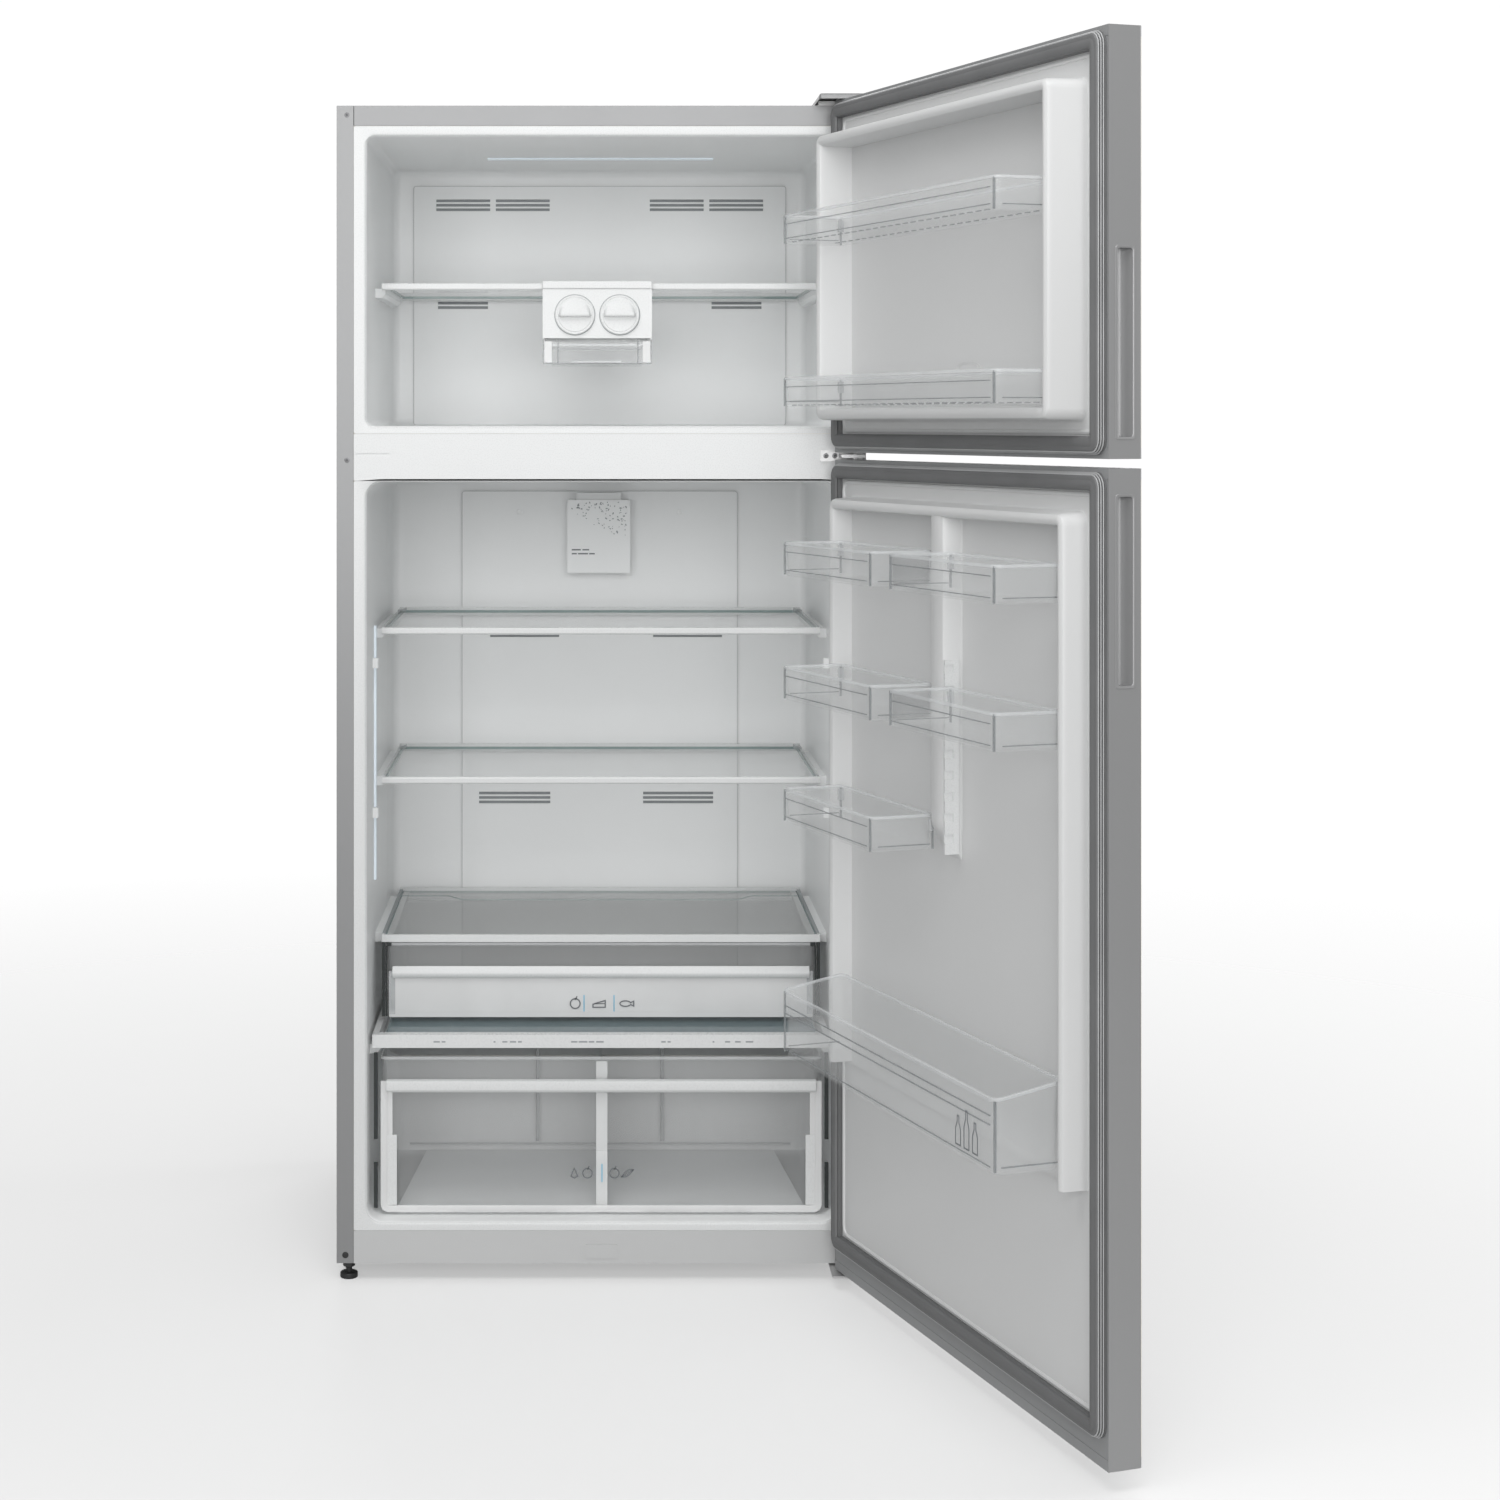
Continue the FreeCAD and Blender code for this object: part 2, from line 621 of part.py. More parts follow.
def ice_bin():
    tub = tray(("ice_middle - 80", "ice_middle + 80"), ("ice_front + 3", "ice_rear - 4"),
               ("ice_bin_base", "1490.5"), "2", 5)
    rims = []
    for side in (-1, 1):
        rims.append(block((f"ice_middle + {side}*82.5 - 3", f"ice_middle + {side}*82.5 + 3"),
                          ("ice_front + 4", "ice_rear - 5"), ("1488", "1490.5")))
    front = block(("ice_middle - ice_half", "ice_middle + ice_half"), ("ice_front", "ice_front + 3.5"),
                  ("ice_bin_base", "ice_panel_base - 1"))
    pull = block(("ice_middle - 40", "ice_middle + 40"), ("ice_front - 8", "ice_front + 1"),
                 ("ice_bin_base + 2", "ice_bin_base + 5"))
    finish("ice_bin", join(tub, front, pull, *rims))


# ---------------------------------------------------------------- hinges, plinth and fasteners

def plinth():
    face = block(sides("cabinet_width/2 - side_strip - gap"), ("0", "liner_wall"),
                 ("underside", "plinth_height - gap"))
    lip = block(sides("370"), ("liner_wall", "14"), ("plinth_height - 14", "plinth_height - 12"))
    tab = rounded(block(("-26", "26"), ("-1.5", "1"), ("36", "58")), 3, along("y"))
    finish("plinth", join(face, lip, tab))


def hinges():
    place = ("pivot_x", "pivot_y")
    foot = block(("345", "414"), ("6", "80"), ("cabinet_height", "cabinet_height + 8"))
    arm = block(("372", "414"), ("-54", "20"), ("cabinet_height + 4.5", "cabinet_height + 8"))
    pin = rod("z", place, "pin_radius", ("freezer_door_top - end_cap + 2", "cabinet_height + 6"))
    finish("top_hinge", join(foot, arm, pin))
    plate = block(("347", "414"), ("-3.5", "0"), ("1300", "1318"))
    arm = block(("376", "414"), ("-54", "-3"), ("1306.5", "1311.5"))
    pin = rod("z", place, "pin_radius",
              ("fridge_door_top - end_cap + 2", "freezer_door_base + end_cap - 2"))
    finish("middle_hinge", join(plate, arm, pin))
    plate = block(("362", "419"), ("-54", "92"), ("underside - 6", "underside - 3"))
    riser = block(("362", "419"), ("44", "92"), ("underside - 6", "underside"))
    stem = rod("z", ("foot_x", "foot_y"), "stem_radius + 2", ("underside - 8", "underside + 1"))
    pin = rod("z", place, "pin_radius", ("underside - 5", "underside + end_cap - 2"))
    finish("bottom_hinge", join(cut(join(plate, riser), stem), pin))


def hinge_cover():
    lid = block(("341", "419"), ("-58", "86"), ("freezer_door_top + 0.7", "cabinet_height + 12.5"))
    outside = rounded(lid, 4, lambda direction, middle: middle.z > number("cabinet_height + 5.5"))
    inside = block(("343", "417"), ("-56", "84"), ("cabinet_height - 5", "cabinet_height + 10"))
    finish("hinge_cover", cut(outside, inside))


def screws():
    """Heads on the casing's front strips and on the middle hinge."""
    strip = "cabinet_width/2 - 16.5"
    heads = [rod("y", place, "4.2", ("-1.2", "0"))
             for place in ((f"-({strip})", "1849.5"), (strip, "1849.5"), (f"-({strip})", "1302"))]
    heads += [rod("y", (x, "1309"), "4", ("-5.5", "-3.5")) for x in ("356", "370")]
    finish("screws", bundle(*heads))


# ---------------------------------------------------------------- cooling and machine space

def compressor():
    x, y, radius = "compressor_x", "compressor_y", "compressor_radius"
    plate = block((f"{x} - 80", f"{x} + 80"), (f"{y} - 65", f"{y} + 65"), ("underside + 8", "underside + 11"))
    mounts = [rod("z", (f"{x} + {across}*68", f"{y} + {back}*53"), "8", ("underside + 2", "underside + 9"))
              for across in (-1, 1) for back in (-1, 1)]
    pot = rod("z", (x, y), radius, ("underside + 10", "150"))
    dome = doc.addObject("Part::Sphere", name_of("dome"))
    dome.setExpression("Radius", formula(radius))
    for axis, place in zip(UPRIGHT, (x, y, "118")):
        dome.setExpression(f"Placement.Base.{axis}", formula(place))
    cap = block((f"{x} - 70", f"{x} + 70"), (f"{y} - 70", f"{y} + 70"), ("172", "200"))
    terminal = block((f"{x} - 20", f"{x} + 20"), (f"{y} - 73", f"{y} - 55"), ("70", "110"))
    finish("compressor", join(plate, *mounts, pot, cut(dome, cap), terminal))


def drip_tray():
    finish("drip_tray", tray(("compressor_x - 78", "compressor_x + 78"),
                             ("compressor_y - 75", "compressor_y + 75"), ("174", "198"), "2", 8))


def evaporator():
    """A finned coil behind the freezer's back panel."""
    tubes = [rod("x", (y, z), "4", ("-215", "215"))
             for y in (578, 598) for z in (1410, 1450, 1490, 1530, 1570)]
    fins = [block((f"{x} - 0.5", f"{x} + 0.5"), ("566", "610"), ("1395", "1585"))
            for x in range(-200, 201, 25)]
    finish("evaporator", join(*tubes, *fins))


def evaporator_fan():
    place = ("0", "fan_height")
    ring = block(("-72", "72"), ("560", "606"), ("fan_height - 72", "fan_height + 72"))
    duct = rod("y", place, "60", ("559", "607"))
    bars = [block(("-66", "66"), ("602", "606"), ("fan_height - 5", "fan_height + 5")),
            block(("-5", "5"), ("602", "606"), ("fan_height - 66", "fan_height + 66"))]
    motor = rod("y", place, "15", ("590", "606"))
    finish("fan_housing", join(cut(ring, duct), *bars, motor))
    hub = rod("y", place, "16", ("570", "589"))
    blades = []
    for index in range(BLADES):
        blade = doc.addObject("Part::Box", name_of("blade"))
        for side, size in (("Length", "blade_chord"), ("Width", "blade_thick"), ("Height", "blade_span")):
            blade.setExpression(side, formula(size))
        root = FreeCAD.Placement(Vector(-number("blade_chord") / 2, 579, 14), FreeCAD.Rotation())
        lean = FreeCAD.Placement(Vector(), FreeCAD.Rotation(Vector(0, 0, 1), BLADE_PITCH), Vector(0, 580, 0))
        turn = FreeCAD.Placement(Vector(0, 0, number("fan_height")),
                                 FreeCAD.Rotation(Vector(0, 1, 0), 360 / BLADES * index))
        blade.Placement = turn.multiply(lean).multiply(root)
        blades.append(blade)
    finish("fan_wheel", join(hub, *blades))


def machine_cover():
    plate = block(sides("cabinet_width/2 - sheet"), ("cabinet_depth - 2", "cabinet_depth - sheet"),
                  ("underside + 3", "machine_height + 24"))
    vents = [block((f"{x} - 3", f"{x} + 3"), ("cabinet_depth - 4", "cabinet_depth + 1"), ("60", "190"))
             for x in range(-180, 360, 24)]
    hole = rod("y", ("inlet_x", "inlet_height"), "9", ("cabinet_depth - 4", "cabinet_depth + 1"))
    finish("machine_cover", cut(plate, hole, *vents))


def power_inlet():
    """The strain relief where a mains lead would leave the machine space."""
    place = ("inlet_x", "inlet_height")
    flange = rod("y", place, "14", ("cabinet_depth - sheet", "cabinet_depth + 2"))
    spigot = rod("y", place, "8.5", ("cabinet_depth - 8", "cabinet_depth + 12"))
    bore = rod("y", place, "4", ("cabinet_depth - 9", "cabinet_depth + 13"))
    finish("power_inlet", cut(join(flange, spigot), bore))


def light_strips():
    roof = block(sides("193"), ("327", "343"), ("freezer_roof - 2.5", "freezer_roof"))
    wall = block(("-room_half", "-room_half + 3.5"), ("138", "152"), ("612", "1028"))
    finish("light_strips", bundle(roof, wall))


def feet_and_rollers():
    for name, side in (("left", -1), ("right", 1)):
        place = (f"{side}*foot_x", "foot_y")
        pad = rounded_rod("z", place, "foot_radius", ("0", "9"), 2)
        stem = rod("z", place, "stem_radius", ("8", "52"))
        finish(f"foot_{name}", join(pad, stem))
    wheels = []
    for side in (-1, 1):
        middle = f"{side}*roller_x"
        wheel = rod("x", ("roller_y", "roller_radius"), "roller_radius", (f"{middle} - 9", f"{middle} + 9"))
        axle = rod("x", ("roller_y", "roller_radius"), "3", (f"{middle} - 16", f"{middle} + 16"))
        wheels.append(join(wheel, axle))
    finish("rear_rollers", bundle(*wheels))


def rounded_rod(axis, centre, radius, span, edge):
    """A cylinder with both rims rounded."""
    cylinder = rod(axis, centre, radius, span)
    doc.recompute()
    fillet = doc.addObject("Part::Fillet", name_of("rounded"))
    fillet.Base = cylinder
    rims = [index for index, item in enumerate(cylinder.Shape.Edges, start=1)
            if isinstance(item.Curve, Part.Circle)]
    fillet.Edges = [(index, edge, edge) for index in rims]
    return fillet


# ---------------------------------------------------------------- doors

def door(name, base, top, grip_base, dyke):
    """A door's shared pieces: skin, end caps, foam, liner, seal and grip, drawn shut."""
    half = "door_half"
    outside = rounded(block(sides(half), ("door_face", "door_back"), (base, top)), 4,
                      along("z", lambda middle: middle.y < -40))
    inside = block(sides(f"{half} - sheet"), ("door_face + sheet", "door_back + 1"),
                   (f"{base} - 1", f"{top} + 1"))
    grip_top = f"{grip_base} + grip_length"
    slot = block((f"-{half} - 1", f"-{half} + 2"), ("grip_front", "grip_rear"), (grip_base, grip_top))
    finish(f"{name}_skin", cut(outside, inside, slot), DOOR_PLACE)

    caps = []
    for low, high in ((base, f"{base} + end_cap"), (f"{top} - end_cap", top)):
        cap = block(sides(f"{half} - sheet"), ("door_face + sheet", "door_back"), (low, high))
        bore = rod("z", ("pivot_x", "pivot_y"), "pin_radius + pin_clearance", (f"{low} - 1", f"{high} + 1"))
        caps.append(cut(cap, bore))
    finish(f"{name}_end_caps", bundle(*caps), DOOR_PLACE)

    inner = (f"{base} + end_cap", f"{top} - end_cap")
    trough = block((f"-{half} + sheet", f"-{half} + grip_depth + 2"), ("grip_front - 2", "grip_rear + 2"),
                   (f"{grip_base} - 2", f"{grip_top} + 2"))
    core = block(sides(f"{half} - sheet"), ("door_face + sheet", "door_back - liner_wall"), inner)
    finish(f"{name}_foam", cut(core, trough), DOOR_PLACE)

    cup = block((f"-{half} + sheet", f"-{half} + grip_depth + 2"), ("grip_front - 2", "grip_rear + 2"),
                (f"{grip_base} - 2", f"{grip_top} + 2"))
    hollow = block((f"-{half} - 1", f"-{half} + grip_depth"), ("grip_front", "grip_rear"),
                   (grip_base, grip_top))
    finish(f"{name}_grip", cut(cup, hollow), DOOR_PLACE)

    seal_low, seal_high = dyke["seal"]
    ring = taper(sides("seal_edge"), ("door_back", "seal_face"), (f"{seal_low} - 24", f"{seal_high} + 24"),
                 sides("seal_lip"), (f"{seal_low} - 8", f"{seal_high} + 8"))
    mouth = block(sides("seal_inner"), ("door_back - 1", "seal_face + 1"), (seal_low, seal_high))
    finish(f"{name}_gasket", cut(ring, mouth), DOOR_PLACE)

    flange = block(sides(f"{half} - sheet"), ("door_back - liner_wall", "door_back"), inner)
    low, high = dyke["span"]
    frame = taper(sides("dyke_half"), ("door_back", dyke["height"]), (low, high),
                  sides("dyke_half - 4"), (f"{low} + 3", f"{high} - 3"))
    pocket = taper(sides("dyke_inner - 3"), ("field_face", f"{dyke['height']} + 1"),
                   dyke["pocket"], sides("dyke_inner"), dyke["pocket"])
    pieces = [flange, cut(frame, pocket), *dyke["extras"]]
    finish(f"{name}_liner", join(*pieces), DOOR_PLACE)


def door_bin(x, z, corner="14"):
    return tray(x, ("bin_rear", "bin_front"), z, "bin_wall", corner)


def freezer_door():
    dyke = {
        "seal": ("freezer_door_base + 29", "freezer_door_top - 29"),
        "span": ("freezer_floor + 9", "freezer_roof - 9"),
        "pocket": ("freezer_floor + 20", "freezer_roof - 24"),
        "height": "45",
        "extras": [],
    }
    door("freezer_door", "freezer_door_base", "freezer_door_top", "1343", dyke)
    bins = [door_bin(sides("bin_half"), (f"{low}", f"{low} + 46")) for low in (1385, 1634)]
    finish("freezer_door_bins", bundle(*bins), DOOR_PLACE)


def fridge_door():
    rib = body_of("YZ_Plane", [[("field_face - 1", "745"), ("20", "790"), ("20", "1225"),
                                ("field_face - 1", "1225")]], "-22", "22")
    dyke = {
        "seal": ("plinth_height + 8", "fridge_door_top - 29"),
        "span": ("368", "1245"),
        "pocket": ("360", "1224"),
        "height": "23",
        "extras": [rib],
    }
    door("fridge_door", "fridge_door_base", "fridge_door_top", "1026", dyke)

    fixed = []
    hinge_side, free_side = ("bin_middle", "bin_half"), ("-bin_half", "-bin_middle")
    for span, low in ((hinge_side, 1127), (free_side, 1127), (hinge_side, 937), (hinge_side, 750)):
        fixed.append(door_bin(span, (f"{low}", f"{low} + 52"), "12"))
    finish("fixed_bins", bundle(*fixed), DOOR_PLACE)
    finish("adjustable_bin", door_bin(free_side, ("937", "989"), "12"), DOOR_PLACE)

    half = "bin_half"
    tub = tray(sides(half), ("bin_rear", "bin_front"), ("393", "511"), "bin_wall", "14")
    slope = body_of("YZ_Plane", [[("bin_rear + 14", "512"), ("bin_front - 14", "492"),
                                  ("bin_front + 5", "492"), ("bin_front + 5", "512")]], "-400", "400")
    finish("bottle_bin", cut(tub, slope), DOOR_PLACE)

    spine = block(("-26", "-22"), ("-4", "18"), ("752", "1026"))
    notches = [block(("-27", "-24"), ("5", "19"), (f"{z}", f"{z} + 12")) for z in range(768, 1010, 30)]
    finish("height_rack", cut(spine, *notches), DOOR_PLACE)


# ---------------------------------------------------------------- build, check and write

def build():
    outer_shell()
    rear_panel()
    base_pan()
    cabinet_foam()
    freezer_liner()
    fridge_liner()
    mullion_cover()
    freezer_back_panel()
    fridge_duct_panel()
    filter_cover()
    shelves()
    lower_shelf_frame()
    crisper_cover()
    chiller_drawer()
    crisper_drawer()
    crisper_divider()
    ice_maker_frame()
    ice_trays()
    ice_bin()
    plinth()
    hinges()
    hinge_cover()
    screws()
    compressor()
    drip_tray()
    evaporator()
    evaporator_fan()
    machine_cover()
    power_inlet()
    light_strips()
    feet_and_rollers()
    freezer_door()
    fridge_door()


build()
doc.removeObject(probe.Name)
doc.recompute()

for item in doc.Objects:
    if "Invalid" in item.State or "Error" in item.State:
        raise RuntimeError(f"{item.Label} failed: {item.State}")
for part in subparts:
    if part.Shape.isNull() or not part.Shape.isValid():
        raise RuntimeError(f"{part.Label} has no valid shape")
    part.Shape.exportStep(f"parts/{part.Label}.step")
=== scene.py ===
import json
import math
import random

import bmesh
import bpy
from mathutils import Matrix, Vector

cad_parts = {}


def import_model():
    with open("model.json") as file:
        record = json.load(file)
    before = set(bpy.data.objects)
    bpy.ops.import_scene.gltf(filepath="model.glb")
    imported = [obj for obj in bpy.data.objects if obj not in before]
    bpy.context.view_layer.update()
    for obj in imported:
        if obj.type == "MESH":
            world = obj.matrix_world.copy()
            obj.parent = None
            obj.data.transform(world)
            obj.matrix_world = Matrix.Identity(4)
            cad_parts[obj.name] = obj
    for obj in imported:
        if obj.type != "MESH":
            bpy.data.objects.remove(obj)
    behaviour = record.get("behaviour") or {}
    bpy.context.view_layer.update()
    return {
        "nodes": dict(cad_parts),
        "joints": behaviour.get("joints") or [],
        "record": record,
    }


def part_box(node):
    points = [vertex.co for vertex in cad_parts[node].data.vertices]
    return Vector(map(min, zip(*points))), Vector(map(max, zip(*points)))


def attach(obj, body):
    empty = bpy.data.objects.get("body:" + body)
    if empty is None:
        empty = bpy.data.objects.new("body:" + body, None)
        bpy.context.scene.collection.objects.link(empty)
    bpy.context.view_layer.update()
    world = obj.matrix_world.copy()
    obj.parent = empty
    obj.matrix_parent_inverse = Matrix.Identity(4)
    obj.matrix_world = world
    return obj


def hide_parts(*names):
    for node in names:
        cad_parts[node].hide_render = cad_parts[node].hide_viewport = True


# A top freezer refrigerator with both doors standing open. Pieces are drawn in millimetres in the
# cabinet's own layout, with the doors shut: X to the right, Y back from the cabinet's front face, Z up
# from the floor. DOOR swings a piece open with its door.

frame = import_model()

shell_low, shell_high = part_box("outer_shell")
hinge = next(joint for joint in frame["joints"] if joint["name"] == "fridge_door_hinge")
pivot = Vector((hinge["pos_m"][0], hinge["pos_m"][1], 0))
swing = Matrix.Rotation(math.radians(-hinge["range_deg"][0]), 4, "Z")
CABINET = Matrix.Translation(((shell_low.x + shell_high.x) / 2, shell_low.y, 0))
DOOR = Matrix.Translation(pivot) @ swing @ Matrix.Translation(-pivot) @ CABINET


# ---------------------------------------------------------------- dimensions

SIDES = (-1, 1)

ROOM_HALF = 372
FLANGE_HALF = 392.7
FREEZER_ROOM = (1356, 1815)
FREEZER_REAR = 551.5
FRIDGE_ROOM = (94, 1267)
FRIDGE_REAR = 554
STEP_DEPTH, STEP_HEIGHT = 398, 262

FREEZER_SHELF = 1588
UPPER_SHELF, MIDDLE_SHELF, LOWER_SHELF = 1027, 783, 525
SHELF_SPAN = (128, 521)
LEDGE_SPAN = (165, 500)
COVER_LEDGE, COVER_LEDGE_SPAN = 361, (60, 380)

DOOR_SIZES = {
    "freezer_door": {"span": (1315, 1868), "seal": (1344, 1839), "grip": 1343},
    "fridge_door": {"span": (28, 1303), "seal": (88, 1274), "grip": 1026},
}
DYKE_HALF, DYKE_WIDTH = 357, 17
FIELD_HALF, FIELD_LAYERS = 350, (-14.5, -10)
BIN_DEPTH, BIN_WALL = (8, 108), 2.2
BIN_WHOLE, BIN_FREE, BIN_HINGE = (-344, 344), (-344, -28), (28, 344)
FREEZER_BIN_HEIGHT, FRIDGE_BIN_HEIGHT = 46, 52
GRIP_FACE, GRIP_LENGTH, GRIP_RIM = -418.3, 241, 1.6

CHILLER_FRONT, CHILLER_PRINT = 121, 119.4
CRISPER_FRONT, CRISPER_PRINT = 35, 33.4
KNOB_HEIGHT, KNOB_MIDDLE, KNOB_PITCH, KNOB_FACE = 1537, -6, 36.5, 103
FILTER_FACE = (502.1, 501.7)
PRINT_RELIEF = 0.25


# ---------------------------------------------------------------- materials

def material(name, colour, roughness, metallic=0.0, alpha=1.0, spread=0.03, patch=5.0, grain=400.0,
             bump=0.05, stretch=(1, 1, 1), glow=0.0, coat=0.0):
    """A finish with slow colour drift, a fine grain in its roughness, and the same grain as relief."""
    made = bpy.data.materials.new(name)
    made.use_nodes = True
    tree = made.node_tree
    shader = tree.nodes["Principled BSDF"]
    place = tree.nodes.new("ShaderNodeTexCoord")
    scaled = tree.nodes.new("ShaderNodeMapping")
    scaled.inputs["Scale"].default_value = stretch
    tree.links.new(place.outputs["Object"], scaled.inputs["Vector"])
    drift = tree.nodes.new("ShaderNodeTexNoise")
    drift.inputs["Scale"].default_value = patch
    drift.inputs["Detail"].default_value = 4
    tree.links.new(scaled.outputs["Vector"], drift.inputs["Vector"])
    ramp = tree.nodes.new("ShaderNodeValToRGB")
    for stop, place_at, factor in zip(ramp.color_ramp.elements, (0.3, 0.7), (1 - spread, 1 + spread)):
        stop.position = place_at
        stop.color = [min(1.0, channel * factor) for channel in colour] + [1]
    tree.links.new(drift.outputs["Fac"], ramp.inputs["Fac"])
    tree.links.new(ramp.outputs["Color"], shader.inputs["Base Color"])
    fine = tree.nodes.new("ShaderNodeTexNoise")
    fine.inputs["Scale"].default_value = grain
    fine.inputs["Detail"].default_value = 3
    tree.links.new(scaled.outputs["Vector"], fine.inputs["Vector"])
    spread_roughness = tree.nodes.new("ShaderNodeMapRange")
    spread_roughness.inputs["To Min"].default_value = max(0.02, roughness - 0.07)
    spread_roughness.inputs["To Max"].default_value = min(1.0, roughness + 0.07)
    tree.links.new(fine.outputs["Fac"], spread_roughness.inputs["Value"])
    tree.links.new(spread_roughness.outputs["Result"], shader.inputs["Roughness"])
    relief = tree.nodes.new("ShaderNodeBump")
    relief.inputs["Strength"].default_value = bump
    relief.inputs["Distance"].default_value = 0.001
    tree.links.new(fine.outputs["Fac"], relief.inputs["Height"])
    tree.links.new(relief.outputs["Normal"], shader.inputs["Normal"])
    shader.inputs["Metallic"].default_value = metallic
    shader.inputs["Alpha"].default_value = alpha
    shader.inputs["Coat Weight"].default_value = coat
    if glow:
        shader.inputs["Emission Color"].default_value = (*colour, 1)
        shader.inputs["Emission Strength"].default_value = glow
    return made


BRUSHED = {"spread": 0.03, "grain": 1400, "bump": 0.06, "stretch": (1, 1, 0.12)}

# The finish of each material slot in the record.
LOOKS = {
    "casing_steel": material("casing_steel", (0.27, 0.272, 0.275), 0.42, metallic=0.4, **BRUSHED),
    "rear_steel": material("rear_steel", (0.42, 0.43, 0.43), 0.5, metallic=0.5, spread=0.06, patch=3),
    "pan_steel": material("pan_steel", (0.3, 0.31, 0.31), 0.55, metallic=0.7, spread=0.12, patch=14),
    "foam": material("foam", (0.75, 0.68, 0.5), 0.9, spread=0.08, patch=40, grain=120, bump=0.6),
    "white_liner": material("white_liner", (0.88, 0.89, 0.89), 0.38, spread=0.012, patch=2.5, grain=260),
    # The trim white is darker than the liner's white: painted shade on the white parts that face the front.
    "white_trim": material("white_trim", (0.68, 0.69, 0.69), 0.28, spread=0.01, patch=6, grain=500,
                           bump=0.03),
    "panel_white": material("panel_white", (0.84, 0.85, 0.85), 0.46, spread=0.015, patch=3, grain=600,
                            bump=0.06),
    "shelf_glass": material("shelf_glass", (0.86, 0.90, 0.90), 0.05, alpha=0.10, spread=0.02, patch=4,
                            bump=0.01),
    "clear_plastic": material("clear_plastic", (0.78, 0.795, 0.80), 0.1, alpha=0.12, patch=9, bump=0.02),
    "grey_plastic": material("grey_plastic", (0.28, 0.285, 0.29), 0.45, spread=0.04, grain=900, bump=0.12),
    "seal_rubber": material("seal_rubber", (0.15, 0.152, 0.154), 0.6, spread=0.06, patch=12, grain=700,
                            bump=0.12),
    "hinge_steel": material("hinge_steel", (0.55, 0.55, 0.55), 0.4, metallic=0.6, spread=0.06, patch=30),
    "screw_steel": material("screw_steel", (0.16, 0.16, 0.165), 0.35, metallic=0.6, spread=0.08, patch=60),
    "black_enamel": material("black_enamel", (0.02, 0.02, 0.022), 0.3, spread=0.2, patch=20, coat=0.3),
    "coil_aluminium": material("coil_aluminium", (0.7, 0.71, 0.72), 0.35, metallic=0.9, spread=0.06,
                               patch=30),
    "black_plastic": material("black_plastic", (0.02, 0.02, 0.021), 0.5, spread=0.2, patch=25, grain=900,
                              bump=0.15),
    "lamp_diffuser": material("lamp_diffuser", (0.80, 0.88, 0.95), 0.3, spread=0.02, glow=0.12),
}

# Finishes that only some pieces or nodes of a slot have.
# A dark grey clear for bands, ribs, outlines and slots: painted shade where clear plastic is seen edge-on.
SHADED_CLEAR_EDGE = material("shaded_clear_edge", (0.30, 0.32, 0.33), 0.15, alpha=0.5, spread=0.05, patch=20, bump=0.02)
# A paler, more opaque clear for rims, hooks and rails: painted sheen on thick edges of clear plastic.
SHEEN_CLEAR_RIM = material("sheen_clear_rim", (0.80, 0.82, 0.83), 0.12, alpha=0.38, patch=15, bump=0.02)
# A half-mirror pale pane: painted sheen standing in for the glass's reflection.
PAINTED_GLASS_SHEEN = material("painted_glass_sheen", (0.90, 0.91, 0.91), 0.12, metallic=0.7, alpha=0.42, spread=0.02,
                       bump=0.01)
FROSTED = material("frosted", (0.90, 0.905, 0.905), 0.35, alpha=0.62, patch=12)
GLASS_EDGE = material("glass_edge", (0.30, 0.40, 0.39), 0.1, alpha=0.75, spread=0.08, patch=18, bump=0.02)
COVER_GLASS = material("cover_glass", (0.22, 0.30, 0.32), 0.07, alpha=0.55, spread=0.04, patch=6, bump=0.01)
# Near-black for painted shade in gaps and screw slots, and for the dark joints at the top of the casing's
# front strips.
GAP_SHADE_AND_JOINT = material("gap_shade_and_joint", (0.03, 0.035, 0.035), 0.7, spread=0.2, patch=30)
PRINT_GREY = material("print_grey", (0.16, 0.17, 0.18), 0.5, spread=0.08, patch=60)
PRINT_BLUE = material("print_blue", (0.22, 0.50, 0.66), 0.5, spread=0.05, patch=60)
# A darker copy of the liner's white for the door liners: painted shade.
SHADED_DOOR_WHITE = material("shaded_door_white", (0.66, 0.665, 0.665), 0.36, spread=0.012, patch=2.5, grain=260)
# A darker white for the plinth at the foot of the cabinet: painted shade.
SHADED_PLINTH_WHITE = material("shaded_plinth_white", (0.52, 0.525, 0.525), 0.4, spread=0.02, patch=3, grain=260,
                        bump=0.06)
# A lighter copy of the casing steel for the door skins and grips: painted light.
LIT_DOOR_STEEL = material("lit_door_steel", (0.34, 0.342, 0.345), 0.42, metallic=0.35, **BRUSHED)
# A lighter copy of the seal rubber: painted highlights on the seal's ridges.
PAINTED_SEAL_HIGHLIGHT = material("painted_seal_highlight", (0.46, 0.465, 0.47), 0.4, spread=0.06, patch=12, grain=700, bump=0.1)
SEAM = material("seam", (0.52, 0.53, 0.53), 0.5, spread=0.05, patch=20)
# Mid grey for printed marks and rails, and painted shade behind the vent slots.
GREY_PRINT_AND_SHADE = material("grey_print_and_shade", (0.30, 0.32, 0.33), 0.5, spread=0.05, patch=20, grain=600)


def repaint(node, finish):
    """Give a CAD node one finish in all its slots."""
    mesh = frame["nodes"][node].data
    if not mesh.materials:
        mesh.materials.append(finish)
    for index in range(len(mesh.materials)):
        mesh.materials[index] = finish


for entry in frame["record"]["subparts"]:
    repaint(entry["node"], LOOKS[entry["material_slot"]])
repaint("crisper_cover_glass", COVER_GLASS)
repaint("hinge_cover", LOOKS["casing_steel"])
# The mullion cover takes the darker trim white: painted shade.
repaint("mullion_cover", LOOKS["white_trim"])
# The plinth takes the darker white: painted shade.
repaint("plinth", SHADED_PLINTH_WHITE)
